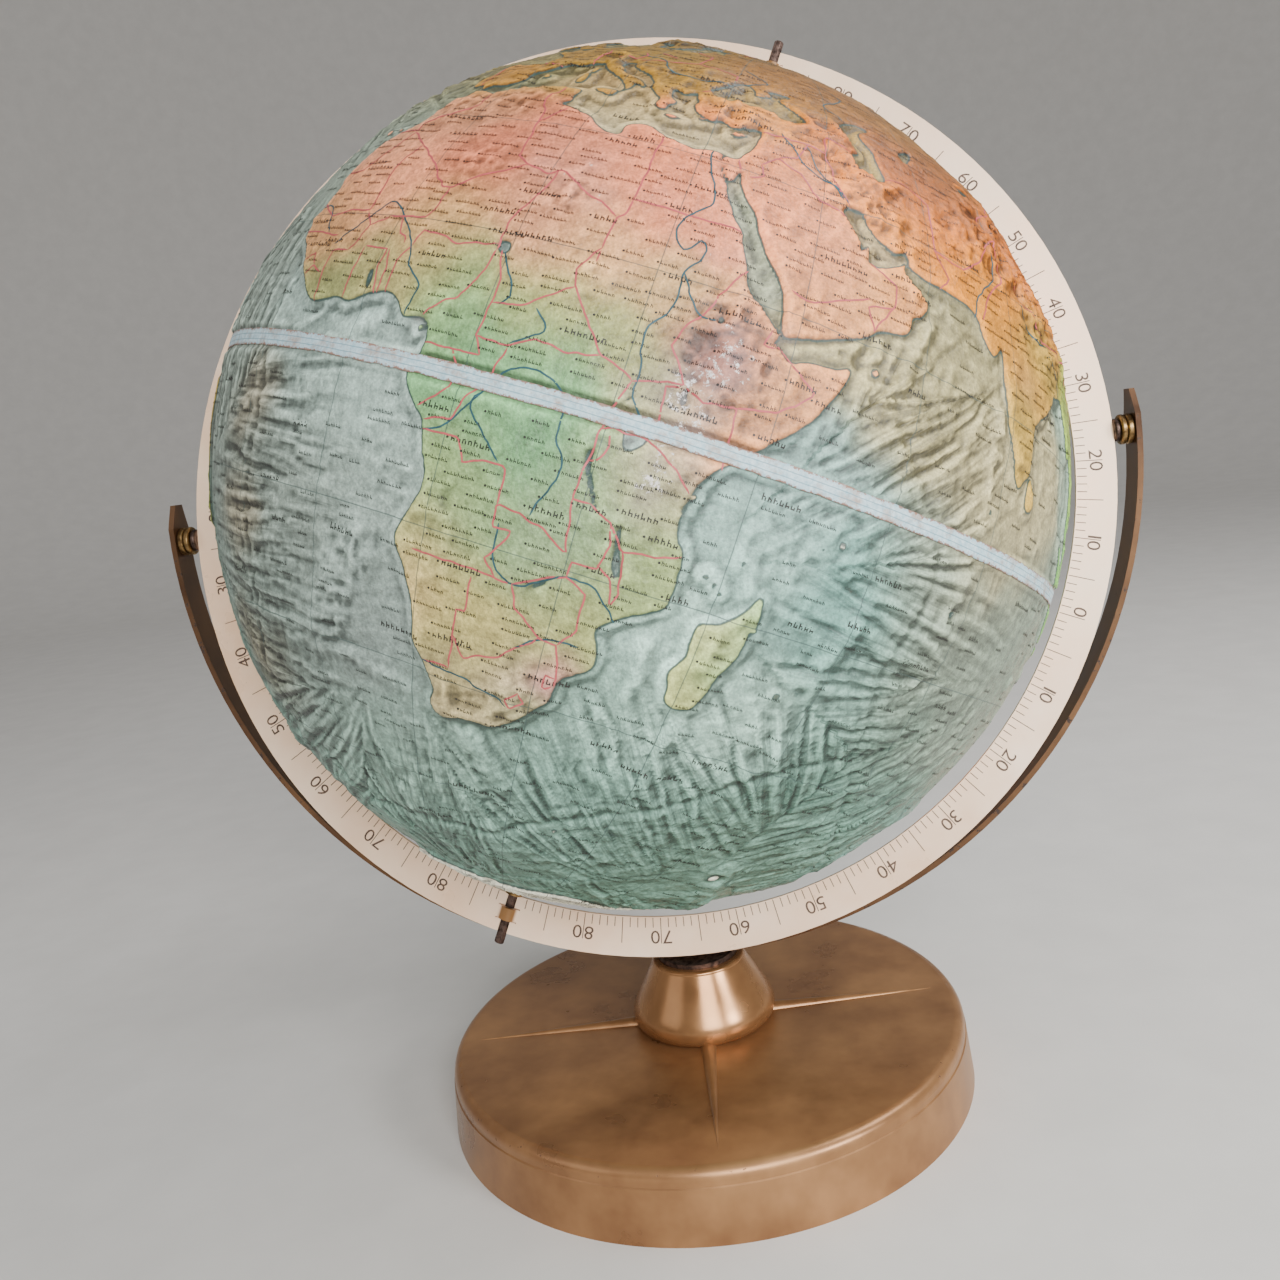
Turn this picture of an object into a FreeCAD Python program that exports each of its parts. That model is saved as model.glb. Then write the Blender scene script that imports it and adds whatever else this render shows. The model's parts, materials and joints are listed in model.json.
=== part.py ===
"""Desktop globe on a stand.

A 12 inch raised-relief globe turns on two pins in a flat meridian ring. The ring swings on two
pivots in a half-round bow, and the bow turns on a screw that clamps it to a bell-shaped hub on a
round stamped base. Millimetres, +Z up, origin on the ground at the middle of the base. The bow's
pivots lie on the X axis and the ring's scale faces -Y.
"""
import FreeCAD, Part
import math
import os

from FreeCAD import Vector

ORIGIN = Vector(0, 0, 0)
X_AXIS = Vector(1, 0, 0)
Y_AXIS = Vector(0, 1, 0)
Z_AXIS = Vector(0, 0, 1)
HALF_TURN = 180

# Fits and plays
RUNNING_CLEARANCE = 0.06        # radial, shaft in a bush
LOOSE_CLEARANCE = 0.2           # radial, screw in a plain hole
SWIVEL_PLAY = 0.05              # height between the hub's top and the saddle
PIVOT_PLAY = 0.2                # along each pivot, washer to bush
POLE_PLAY = 0.25                # along each pole pin, spacer to bush

# How the stand was left standing
RING_SWING = 10.0               # degrees that the ring leans back
BASE_TURN = 4.0                 # degrees that the base's ribs are turned from the bow's plane

# Globe
GLOBE_RADIUS = 152.4
POLAR_TILT = 23.5               # degrees between the polar axis and the ring's upright
SHELL_WALL = 1.6
TAPE_WIDTH = 6.0
TAPE_THICKNESS = 0.25
STRIP_WIDTH = 16.0
STRIP_THICKNESS = 1.5
POLE_BUSH_WALL = 2.64
POLE_BUSH_LENGTH = 10.0
POLE_CAP_BRIM = 2.5             # cap beyond its sleeve
POLE_CAP_THICKNESS = 1.0

# Meridian ring
RING_GAP = 7.6                  # globe to the ring's inner edge
RING_WIDTH = 14.5
RING_THICKNESS = 1.8
LOOP_WALL = 1.5                 # sheet left in the loops that hold the pole pins
LOOP_FOOT_ROUND = 1.5
FRONT_LOOP_LENGTH = 4.6         # along the pin
LOOP_SLIT = 0.4
LOOP_FOOT_MIDDLE = -120         # degrees, middle of the concave foot's arc
TONGUE_WIDTH = 3.2              # ring tongue that each pivot stud is peened on
TONGUE_LENGTH = 1.6

# Pole pins
PIN_RADIUS = 1.8
PIN_STAND_OUT = 4.3             # beyond the ring's outer edge
PIN_TIP_CHAMFER = 0.35
PIN_FLUTES = 18
PIN_FLUTE_RADIUS = 0.2
SPACER_WALL = 1.4

# Pivots between ring and bow
STUD_JOURNAL_RADIUS = 2.5
STUD_SHOULDER = 1.7             # stud flange beyond the journal
STUD_FLANGE_THICKNESS = 2.0
WASHER_THICKNESS = 2.0
BUSH_WALL = 1.04
BUSH_BRIM = 1.9                 # bush flange beyond its sleeve
BUSH_FLANGE_THICKNESS = 2.3
PIVOT_EDGE_ROUND = 0.7
FULL_ROUND_SHARE = 0.45         # most of a disc's thickness that each rounded rim may take
BUSH_RECESS = 0.1               # bush and stud end this far inside the bow's outer face

# Bow
BOW_WIDTH = 12.7
BOW_THICKNESS = 2.0
BOW_OVERRUN = 14.5              # end of each arm above its pivot
BOW_CLIP_HEIGHT = 9.0           # clipped corners of each end
BOW_CLIP_DEPTH = 3.6

# Swivel screw
SCREW_RADIUS = 3.0
SCREW_HEAD_BRIM = 2.5           # head beyond the shank
SCREW_HEAD_HEIGHT = 3.2
SCREW_SLOT_WIDTH = 1.3
SCREW_SLOT_DEPTH = 1.4
SCREW_SLOT_TURN = 30            # degrees that the slot was left turned
SCREW_TAIL = 1.5                # thread below the nut
SCREW_WASHER_BRIM = 5.0         # washer beyond the shank
SCREW_WASHER_THICKNESS = 1.2
SADDLE_INSET = 1.4              # saddle inside the flat of the hub's top
SADDLE_THICKNESS = 1.6          # at its middle
NUT_WALL = 2.0                  # shank to each flat
NUT_HEIGHT = 5.0
NUT_CHAMFER_SHARE = 0.7         # of each corner beyond the flats
LOCK_WASHER_BRIM = 2.4
LOCK_WASHER_THICKNESS = 1.5
LOCK_WASHER_SLIT = 1.0

# Hub
HUB_HEIGHT = 26.0
HUB_WALL = 1.5
HUB_BULGE_RADIUS = 28.0
HUB_TUCK = 2.6                  # bulge to the foot of the bell
HUB_BULGE_HEIGHT = 4.8
HUB_SHOULDER_RADIUS = 18.4
HUB_EDGE_ROUND = 1.5
HUB_LEAST_ROUND = 0.3           # smallest inner corner that the spun sheet has
HUB_ROLL_IN = 0.7               # bulge to the side at the roll's height
HUB_ROLL_SHARE = 0.4            # of the bulge's height
HUB_WAIST = ((0.1, 0.19), (0.36, 0.43), (0.71, 0.73))   # shares of the run in and of the rise

# Base
BASE_HEIGHT = 24.5
BASE_SHEET = 1.2
BASE_RIM_RADIUS = 99.7
BASE_FLARE = 1.7                # foot of the side wall beyond the rim
BASE_EDGE_ROUND = 3.6
BASE_LEAST_ROUND = 0.5          # smallest inner corner that the stamped sheet has
BASE_BEAD_DROP = 5.6            # rim to the bead line on the side wall
BASE_BEAD_STEP = 0.4
BASE_LIP = 3.5                  # turned-in foot of the side wall
RIB_COUNT = 4
RIB_TIP_INSET = 9.7             # rim to each rib's tip
RIB_START_INSET = 3.4           # each rib starts this far inside the hub's foot
RIB_ROUND = 3.3                 # ridge radius at its start
RIB_SINK = 1.0                  # ridge centre below the top sheet at its start
RIB_POINT = 0.05                # ridge radius at its tip

# Worked out
POLE_BUSH_RADIUS = PIN_RADIUS + RUNNING_CLEARANCE + POLE_BUSH_WALL
POLE_CAP_RADIUS = POLE_BUSH_RADIUS + POLE_CAP_BRIM
SPACER_RADIUS = PIN_RADIUS + SPACER_WALL
STUD_FLANGE_RADIUS = STUD_JOURNAL_RADIUS + STUD_SHOULDER
BUSH_RADIUS = STUD_JOURNAL_RADIUS + RUNNING_CLEARANCE + BUSH_WALL
BUSH_FLANGE_RADIUS = BUSH_RADIUS + BUSH_BRIM
WASHER_RADIUS = BUSH_FLANGE_RADIUS
SCREW_HEAD_RADIUS = SCREW_RADIUS + SCREW_HEAD_BRIM
SCREW_WASHER_RADIUS = SCREW_RADIUS + SCREW_WASHER_BRIM
LOCK_WASHER_RADIUS = SCREW_RADIUS + LOCK_WASHER_BRIM
NUT_ACROSS_FLATS = 2 * (SCREW_RADIUS + NUT_WALL)
HUB_FOOT_RADIUS = HUB_BULGE_RADIUS - HUB_TUCK
SADDLE_RADIUS = HUB_SHOULDER_RADIUS - HUB_EDGE_ROUND - SADDLE_INSET
BASE_FOOT_RADIUS = BASE_RIM_RADIUS + BASE_FLARE
RIB_TIP_RADIUS = BASE_RIM_RADIUS - RIB_TIP_INSET
RIB_START_RADIUS = HUB_FOOT_RADIUS - RIB_START_INSET
RING_INNER_RADIUS = GLOBE_RADIUS + RING_GAP
RING_OUTER_RADIUS = RING_INNER_RADIUS + RING_WIDTH
RING_MIDDLE_RADIUS = (RING_INNER_RADIUS + RING_OUTER_RADIUS) / 2
WASHER_START = RING_OUTER_RADIUS + STUD_FLANGE_THICKNESS
BUSH_START = WASHER_START + WASHER_THICKNESS + PIVOT_PLAY
BOW_INNER_RADIUS = BUSH_START + BUSH_FLANGE_THICKNESS
BOW_OUTER_RADIUS = BOW_INNER_RADIUS + BOW_THICKNESS
HUB_TOP = BASE_HEIGHT + HUB_HEIGHT
SADDLE_BOTTOM = HUB_TOP + SWIVEL_PLAY
CENTRE_HEIGHT = SADDLE_BOTTOM + SADDLE_THICKNESS + BOW_OUTER_RADIUS
CENTRE = Vector(0, 0, CENTRE_HEIGHT)


def cylinder(radius, low, high, axis=Z_AXIS):
    """Solid cylinder about an axis through the origin, between two places along it."""
    return Part.makeCylinder(radius, high - low, axis * low, axis)


def tube(outer, inner, low, high, axis=Z_AXIS):
    """Cylinder with a bore."""
    return cylinder(outer, low, high, axis).cut(cylinder(inner, low - 1, high + 1, axis))


def rounded_disc(radius, low, high, axis):
    """Disc with both rims rounded, as the pivots' turned discs have."""
    disc = cylinder(radius, low, high, axis)
    rims = [edge for edge in disc.Edges if isinstance(edge.Curve, Part.Circle)]
    return disc.makeFillet(min(PIVOT_EDGE_ROUND, (high - low) * FULL_ROUND_SHARE), rims)


def turned(shape, axis, degrees):
    """Copy of a shape turned about an axis through the origin."""
    copy = shape.copy()
    copy.rotate(ORIGIN, axis, degrees)
    return copy


def raised(shape, height):
    """Copy of a shape moved up."""
    copy = shape.copy()
    copy.translate(Z_AXIS * height)
    return copy


def swung(shape):
    """Place a shape made about the ring's centre: lean it back and lift it to the centre."""
    return raised(turned(shape, X_AXIS, -RING_SWING), CENTRE_HEIGHT)


def tilted(shape):
    """Lean a shape made about the polar axis over by the polar tilt."""
    return turned(shape, Y_AXIS, POLAR_TILT)


def revolved(edges):
    """Solid of revolution about Z from a closed run of edges in the XZ plane."""
    return Part.Face(Part.Wire(edges)).revolve(ORIGIN, Z_AXIS, 360)


def straight(points):
    """Edges joining radius and height pairs in order."""
    corners = [Vector(radius, 0, height) for radius, height in points]
    return [Part.LineSegment(a, b).toShape() for a, b in zip(corners, corners[1:])]


def quarter_round(centre_radius, centre_height, radius):
    """Convex quarter arc from the outside of a rim to its top."""
    diagonal = radius * math.sqrt(0.5)
    return Part.Arc(Vector(centre_radius + radius, 0, centre_height),
                    Vector(centre_radius + diagonal, 0, centre_height + diagonal),
                    Vector(centre_radius, 0, centre_height + radius)).toShape()


# Base ---------------------------------------------------------------------------------------


def base_form(inset):
    """Solid inside the base's outer surface, moved in by an inset."""
    top = BASE_HEIGHT - inset
    rim = BASE_RIM_RADIUS - inset
    foot = BASE_FOOT_RADIUS - inset
    edge = max(BASE_EDGE_ROUND - inset, BASE_LEAST_ROUND)
    bead = BASE_HEIGHT - BASE_BEAD_DROP
    outline = straight([(0, 0), (foot, 0), (rim + BASE_BEAD_STEP, bead - BASE_BEAD_STEP),
                        (rim, bead), (rim, top - edge)])
    outline.append(quarter_round(rim - edge, top - edge, edge))
    outline += straight([(rim - edge, top), (0, top), (0, 0)])
    return revolved(outline)


def rib_ridges(start, drop):
    """Round ridges on the top sheet, tapering from a start radius to their tips."""
    share = (RIB_TIP_RADIUS - start) / (RIB_TIP_RADIUS - RIB_START_RADIUS)
    head = Vector(start, 0, BASE_HEIGHT - drop - RIB_SINK * share)
    tip = Vector(RIB_TIP_RADIUS, 0, BASE_HEIGHT - drop)
    ridge = Part.makeCone(RIB_ROUND * share, RIB_POINT, (tip - head).Length, head, tip - head)
    step = 360 / RIB_COUNT
    return [turned(ridge, Z_AXIS, BASE_TURN + step * number) for number in range(RIB_COUNT)]


def base_shell():
    """Stamped base: one sheet with a turned-in foot and raised ribs, open underneath."""
    hub = raised(hub_form(0), BASE_HEIGHT).fuse(cylinder(HUB_FOOT_RADIUS, 0, BASE_HEIGHT))
    ribs = [ridge.cut(hub) for ridge in rib_ridges(RIB_START_RADIUS, 0)]
    outer = base_form(0).fuse(ribs)
    hollows = rib_ridges(HUB_BULGE_RADIUS + BASE_SHEET, BASE_SHEET)
    shell = outer.cut(base_form(BASE_SHEET).fuse(hollows))
    wall = BASE_FOOT_RADIUS - BASE_SHEET
    lip = tube(wall + BASE_SHEET / 2, wall - BASE_LIP, 0, BASE_SHEET).common(base_form(0))
    shell = shell.fuse(lip)
    return shell.cut(cylinder(SCREW_RADIUS + LOOSE_CLEARANCE, 0, HUB_TOP)).removeSplitter()


def hub_form(inset):
    """Solid inside the hub's bell, moved in by an inset, standing on z = 0."""
    top = HUB_HEIGHT - inset
    shoulder = HUB_SHOULDER_RADIUS - inset
    edge = max(HUB_EDGE_ROUND - inset, HUB_LEAST_ROUND)
    bulge = HUB_BULGE_RADIUS - inset
    side_height = top - edge
    side_run = bulge - shoulder
    side_rise = side_height - HUB_BULGE_HEIGHT
    points = [(HUB_FOOT_RADIUS - inset, 0),
              (bulge - HUB_ROLL_IN, HUB_BULGE_HEIGHT * HUB_ROLL_SHARE),
              (bulge, HUB_BULGE_HEIGHT)]
    points += [(bulge - side_run * inward, HUB_BULGE_HEIGHT + side_rise * upward)
               for inward, upward in HUB_WAIST]
    points.append((shoulder, side_height))
    side = Part.BSplineCurve()
    side.interpolate([Vector(radius, 0, height) for radius, height in points])
    outline = straight([(0, 0), points[0]]) + [side.toShape()]
    outline.append(quarter_round(shoulder - edge, side_height, edge))
    outline += straight([(shoulder - edge, top), (0, top), (0, 0)])
    return revolved(outline)


def hub_cone():
    """Bell-shaped spun hub that stands on the base and carries the bow."""
    bell = hub_form(0).cut(hub_form(HUB_WALL))
    bell = bell.cut(cylinder(SCREW_RADIUS + LOOSE_CLEARANCE, 0, HUB_HEIGHT + 1))
    return raised(bell, BASE_HEIGHT)


# Swivel screw -------------------------------------------------------------------------------


def screw_seat():
    """Height of the washer's underside: it rests on the bow's inner curve at its rim."""
    dip = math.sqrt(BOW_INNER_RADIUS ** 2 - SCREW_WASHER_RADIUS ** 2)
    return CENTRE_HEIGHT - dip + SWIVEL_PLAY


def nut_top():
    """Height of the nut's upper face, under the lock washer."""
    return BASE_HEIGHT - BASE_SHEET - LOCK_WASHER_THICKNESS


def bow_screw():
    """Round-head slotted screw that holds bow, hub and base together."""
    seat = screw_seat() + SCREW_WASHER_THICKNESS
    dome = (SCREW_HEAD_RADIUS ** 2 + SCREW_HEAD_HEIGHT ** 2) / (2 * SCREW_HEAD_HEIGHT)
    top = seat + SCREW_HEAD_HEIGHT
    head = raised(Part.makeSphere(dome), top - dome).common(cylinder(SCREW_HEAD_RADIUS, seat, top))
    slot = Part.makeBox(2 * SCREW_HEAD_RADIUS, SCREW_SLOT_WIDTH, SCREW_SLOT_DEPTH,
                        Vector(-SCREW_HEAD_RADIUS, -SCREW_SLOT_WIDTH / 2, top - SCREW_SLOT_DEPTH))
    slot = turned(slot, Z_AXIS, SCREW_SLOT_TURN)
    shank = cylinder(SCREW_RADIUS, nut_top() - NUT_HEIGHT - SCREW_TAIL, seat)
    return head.cut(slot).fuse(shank).removeSplitter()


def bow_screw_washer():
    """Plain washer under the screw's head."""
    seat = screw_seat()
    return tube(SCREW_WASHER_RADIUS, SCREW_RADIUS, seat, seat + SCREW_WASHER_THICKNESS)


def base_lock_washer():
    """Split spring washer between base and nut."""
    washer = tube(LOCK_WASHER_RADIUS, SCREW_RADIUS, nut_top(), nut_top() + LOCK_WASHER_THICKNESS)
    slit = Part.makeBox(LOCK_WASHER_RADIUS + 1, LOCK_WASHER_SLIT, LOCK_WASHER_THICKNESS + 2,
                        Vector(0, -LOCK_WASHER_SLIT / 2, nut_top() - 1))
    return washer.cut(slit)


def base_nut():
    """Hexagon nut with chamfered corners."""
    low = nut_top() - NUT_HEIGHT
    corner = NUT_ACROSS_FLATS / math.sqrt(3)
    angles = [math.radians(60 * number) for number in range(7)]
    ring = [Vector(corner * math.cos(a), corner * math.sin(a), low) for a in angles]
    nut = Part.Face(Part.makePolygon(ring)).extrude(Z_AXIS * NUT_HEIGHT)
    chamfer = (corner - NUT_ACROSS_FLATS / 2) * NUT_CHAMFER_SHARE
    blank = Part.makeCone(corner - chamfer, corner + NUT_HEIGHT - chamfer, NUT_HEIGHT,
                          Vector(0, 0, low))
    return nut.common(blank).cut(cylinder(SCREW_RADIUS, low - 1, nut_top() + 1))


# Bow ----------------------------------------------------------------------------------------


def bow_saddle():
    """Dark disc with a hollow top that the bow sits in; it turns with the bow on the hub."""
    high = SADDLE_BOTTOM + SADDLE_THICKNESS
    rim = CENTRE_HEIGHT - math.sqrt(BOW_OUTER_RADIUS ** 2 - SADDLE_RADIUS ** 2)
    disc = tube(SADDLE_RADIUS, SCREW_RADIUS + RUNNING_CLEARANCE, SADDLE_BOTTOM, max(rim, high))
    reach = SADDLE_RADIUS + 1
    return disc.cut(raised(cylinder(BOW_OUTER_RADIUS, -reach, reach, Y_AXIS), CENTRE_HEIGHT))


def bow_end_clips():
    """Wedges that clip the two corners of each end of the bow."""
    high = BOW_OVERRUN
    low = high - BOW_CLIP_HEIGHT
    side = BOW_WIDTH / 2
    reach = BOW_OUTER_RADIUS + 1
    corner = Part.makePolygon([Vector(-reach, side, low), Vector(-reach, side - BOW_CLIP_DEPTH, high),
                               Vector(-reach, side + 1, high), Vector(-reach, side + 1, low),
                               Vector(-reach, side, low)])
    wedge = Part.Face(corner).extrude(X_AXIS * (2 * reach))
    return [wedge, turned(wedge, Z_AXIS, HALF_TURN)]


def bow():
    """Half-round flat strip that carries the ring."""
    side = BOW_WIDTH / 2
    hoop = tube(BOW_OUTER_RADIUS, BOW_INNER_RADIUS, -side, side, Y_AXIS)
    reach = BOW_OUTER_RADIUS + 1
    above = Part.makeBox(2 * reach, 2 * reach, reach, Vector(-reach, -reach, BOW_OVERRUN))
    strip = hoop.cut(above).cut(bow_end_clips())
    strip = strip.cut(cylinder(BUSH_RADIUS, -reach, reach, X_AXIS))
    strip = strip.cut(cylinder(SCREW_RADIUS + RUNNING_CLEARANCE, -reach, 0))
    flanges = [cylinder(BUSH_FLANGE_RADIUS, BUSH_START, BOW_INNER_RADIUS, X_AXIS * end)
               for end in (1, -1)]
    return raised(strip.cut(flanges), CENTRE_HEIGHT)


def pivot_bush(end):
    """Flanged bush pressed into one arm of the bow; end is 1 on the east side, -1 on the west."""
    axis = X_AXIS * end
    flange = rounded_disc(BUSH_FLANGE_RADIUS, BUSH_START, BOW_INNER_RADIUS, axis)
    sleeve = cylinder(BUSH_RADIUS, BUSH_START + PIVOT_EDGE_ROUND, BOW_OUTER_RADIUS - BUSH_RECESS, axis)
    bore = cylinder(STUD_JOURNAL_RADIUS + RUNNING_CLEARANCE, BUSH_START - 1, BOW_OUTER_RADIUS + 1, axis)
    return raised(flange.fuse(sleeve).cut(bore), CENTRE_HEIGHT)


# Ring ---------------------------------------------------------------------------------------


def loop_section(bulge):
    """Face of a sheet loop across the pin; bulge is -1 to the front, 1 to the back.

    The sheet leaves the ring's plane round a concave foot, runs over the pin as a round crest, and
    leaves a channel as wide as the pin open on its other side.
    """
    half = RING_THICKNESS / 2
    crest = PIN_RADIUS + LOOP_WALL
    foot_x = loop_half_width()
    foot_y = half + LOOP_FOOT_ROUND
    reach = crest + LOOP_FOOT_ROUND
    join = (crest * foot_x / reach, crest * foot_y / reach)
    middle = math.radians(LOOP_FOOT_MIDDLE)
    middle_x = foot_x + LOOP_FOOT_ROUND * math.cos(middle)
    middle_y = foot_y + LOOP_FOOT_ROUND * math.sin(middle)
    edge = foot_x + RING_THICKNESS

    def at(x, y):
        return Vector(x, bulge * y, 0)

    def line(*points):
        return [Part.LineSegment(at(*a), at(*b)).toShape() for a, b in zip(points, points[1:])]

    def arc(a, b, c):
        return [Part.Arc(at(*a), at(*b), at(*c)).toShape()]

    edges = line((-edge, half), (-foot_x, half))
    edges += arc((-foot_x, half), (-middle_x, middle_y), (-join[0], join[1]))
    edges += arc((-join[0], join[1]), (0, crest), join)
    edges += arc(join, (middle_x, middle_y), (foot_x, half))
    edges += line((foot_x, half), (edge, half), (edge, -half), (PIN_RADIUS, -half), (PIN_RADIUS, 0))
    edges += arc((PIN_RADIUS, 0), (0, PIN_RADIUS), (-PIN_RADIUS, 0))
    edges += line((-PIN_RADIUS, 0), (-PIN_RADIUS, -half), (-edge, -half), (-edge, half))
    return Part.Face(Part.Wire(edges))


def loop_half_width():
    """Half of the lanced window's width, where a loop's foot meets the flat sheet."""
    reach = PIN_RADIUS + LOOP_WALL + LOOP_FOOT_ROUND
    return math.sqrt(reach ** 2 - (RING_THICKNESS / 2 + LOOP_FOOT_ROUND) ** 2)


def pin_loops():
    """The three loops that hold one pole pin: back, front, back along the pin."""
    front_low = RING_MIDDLE_RADIUS - FRONT_LOOP_LENGTH / 2
    front_high = RING_MIDDLE_RADIUS + FRONT_LOOP_LENGTH / 2
    spans = [(1, RING_INNER_RADIUS - 1, front_low - LOOP_SLIT),
             (-1, front_low, front_high),
             (1, front_high + LOOP_SLIT, RING_OUTER_RADIUS + 1)]
    return [raised(loop_section(bulge).extrude(Z_AXIS * (high - low)), low)
            for bulge, low, high in spans]


def meridian_ring():
    """Flat ring with lanced loops at the poles and a tongue at each pivot."""
    half = RING_THICKNESS / 2
    flat = tube(RING_OUTER_RADIUS, RING_INNER_RADIUS, -half, half, Y_AXIS)
    reach = PIN_RADIUS + LOOP_WALL + 1
    band = tube(RING_OUTER_RADIUS, RING_INNER_RADIUS, -reach, reach, Y_AXIS)
    width = loop_half_width()
    window = Part.makeBox(2 * width, RING_THICKNESS + 2, RING_WIDTH + 4,
                          Vector(-width, -half - 1, RING_INNER_RADIUS - 2))
    loops = [loop.common(band) for loop in pin_loops()]
    for turn in (0, HALF_TURN):
        flat = flat.cut(turned(window, Y_AXIS, turn))
        flat = flat.fuse([turned(loop, Y_AXIS, turn) for loop in loops])
    tongue = pivot_tongue()
    ring = tilted(flat).fuse([tongue, turned(tongue, Y_AXIS, HALF_TURN)])
    return swung(ring.removeSplitter())


def pivot_tongue():
    """Small tongue on the ring's outer edge that fills the stud's slot."""
    start = RING_OUTER_RADIUS - RING_THICKNESS
    return Part.makeBox(TONGUE_LENGTH + RING_THICKNESS, RING_THICKNESS, TONGUE_WIDTH,
                        Vector(start, -RING_THICKNESS / 2, -TONGUE_WIDTH / 2))


def pivot_stud(turn):
    """Shouldered stud peened on the ring's tongue; its journal runs in the bow's bush."""
    flange = rounded_disc(STUD_FLANGE_RADIUS, RING_OUTER_RADIUS, WASHER_START, X_AXIS)
    journal = cylinder(STUD_JOURNAL_RADIUS, WASHER_START - PIVOT_EDGE_ROUND,
                       BOW_OUTER_RADIUS - BUSH_RECESS, X_AXIS)
    stud = flange.fuse(journal).cut(pivot_tongue()).removeSplitter()
    return swung(turned(stud, Y_AXIS, turn))


def pivot_washer(turn):
    """Brass disc between the stud's shoulder and the bush."""
    disc = rounded_disc(WASHER_RADIUS, WASHER_START, WASHER_START + WASHER_THICKNESS, X_AXIS)
    disc = disc.cut(cylinder(STUD_JOURNAL_RADIUS, WASHER_START - 1, BOW_INNER_RADIUS, X_AXIS))
    return swung(turned(disc, Y_AXIS, turn))


def pole_pin(turn):
    """Pin driven through the ring's loops into the globe, fluted from the ring outwards."""
    low = GLOBE_RADIUS - POLE_BUSH_LENGTH + 1
    high = RING_OUTER_RADIUS + PIN_STAND_OUT
    shank = cylinder(PIN_RADIUS, low, high)
    ends = [edge for edge in shank.Edges if isinstance(edge.Curve, Part.Circle)]
    shank = shank.makeChamfer(PIN_TIP_CHAMFER, ends)
    flute = cylinder(PIN_FLUTE_RADIUS, RING_INNER_RADIUS, high + 1)
    flute.translate(X_AXIS * PIN_RADIUS)
    step = 360 / PIN_FLUTES
    flutes = [turned(flute, Z_AXIS, step * number) for number in range(PIN_FLUTES)]
    return swung(tilted(turned(shank.cut(flutes), Y_AXIS, turn)))


def pole_spacer(turn):
    """Sleeve on the pin that keeps the globe in the middle of the ring."""
    low = GLOBE_RADIUS + POLE_CAP_THICKNESS + POLE_PLAY
    high = math.sqrt(RING_INNER_RADIUS ** 2 - SPACER_RADIUS ** 2)
    sleeve = tube(SPACER_RADIUS, PIN_RADIUS, low, high)
    return swung(tilted(turned(sleeve, Y_AXIS, turn)))


# Globe --------------------------------------------------------------------------------------


def globe_shell(turn):
    """Moulded half of the globe, with the hole for its pole bush."""
    half = Part.makeSphere(GLOBE_RADIUS, ORIGIN, Z_AXIS, 0, 90, 360)
    half = half.cut(Part.makeSphere(GLOBE_RADIUS - SHELL_WALL))
    half = half.cut(cylinder(POLE_BUSH_RADIUS, 0, GLOBE_RADIUS + 1))
    return swung(tilted(turned(half, Y_AXIS, turn)))


def equator_tape():
    """Printed tape over the joint between the halves."""
    band = Part.makeSphere(GLOBE_RADIUS + TAPE_THICKNESS).cut(Part.makeSphere(GLOBE_RADIUS))
    slab = cylinder(GLOBE_RADIUS + 1, -TAPE_WIDTH / 2, TAPE_WIDTH / 2)
    return swung(tilted(band.common(slab)))


def joint_strip():
    """Strip glued inside that lines up the halves."""
    wall = GLOBE_RADIUS - SHELL_WALL
    bore = math.sqrt(wall ** 2 - (STRIP_WIDTH / 2) ** 2) - STRIP_THICKNESS
    slab = tube(GLOBE_RADIUS, bore, -STRIP_WIDTH / 2, STRIP_WIDTH / 2)
    return swung(tilted(slab.common(Part.makeSphere(wall))))


def pole_bush(turn):
    """Bush with a cap on the outside of the globe, which turns on the pole pin."""
    skin = Part.makeSphere(GLOBE_RADIUS)
    cap = Part.makeSphere(GLOBE_RADIUS + POLE_CAP_THICKNESS).cut(skin)
    cap = cap.common(cylinder(POLE_CAP_RADIUS, 0, GLOBE_RADIUS + POLE_CAP_THICKNESS + 1))
    sleeve = cylinder(POLE_BUSH_RADIUS, GLOBE_RADIUS - POLE_BUSH_LENGTH, GLOBE_RADIUS + 1)
    sleeve = sleeve.common(Part.makeSphere(GLOBE_RADIUS + POLE_CAP_THICKNESS / 2))
    bore = cylinder(PIN_RADIUS + RUNNING_CLEARANCE, 0, GLOBE_RADIUS + POLE_CAP_THICKNESS + 1)
    bush = cap.fuse(sleeve).cut(bore).removeSplitter()
    return swung(tilted(turned(bush, Y_AXIS, turn)))


NODES = {
    "base_shell": base_shell(),
    "hub_cone": hub_cone(),
    "bow_screw": bow_screw(),
    "bow_screw_washer": bow_screw_washer(),
    "base_lock_washer": base_lock_washer(),
    "base_nut": base_nut(),
    "bow": bow(),
    "bow_saddle": bow_saddle(),
    "meridian_ring": meridian_ring(),
    "equator_tape": equator_tape(),
    "joint_strip": joint_strip(),
}
for side, end, turn in (("east", 1, 0), ("west", -1, HALF_TURN)):
    NODES["pivot_bush_" + side] = pivot_bush(end)
    NODES["pivot_stud_" + side] = pivot_stud(turn)
    NODES["pivot_washer_" + side] = pivot_washer(turn)
for pole, turn in (("north", 0), ("south", HALF_TURN)):
    NODES[pole + "_shell"] = globe_shell(turn)
    NODES[pole + "_pole_bush"] = pole_bush(turn)
    NODES[pole + "_pole_pin"] = pole_pin(turn)
    NODES[pole + "_pole_spacer"] = pole_spacer(turn)

os.makedirs("parts", exist_ok=True)
for name, shape in NODES.items():
    solids = shape.Solids
    box = shape.BoundBox
    print(f"{name:18s} solids {len(solids)} valid {shape.isValid()} volume {shape.Volume / 1000:9.2f} cm3 "
          f"z {box.ZMin:7.2f} to {box.ZMax:7.2f}")
    shape.exportStep("parts/" + name + ".step")
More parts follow.
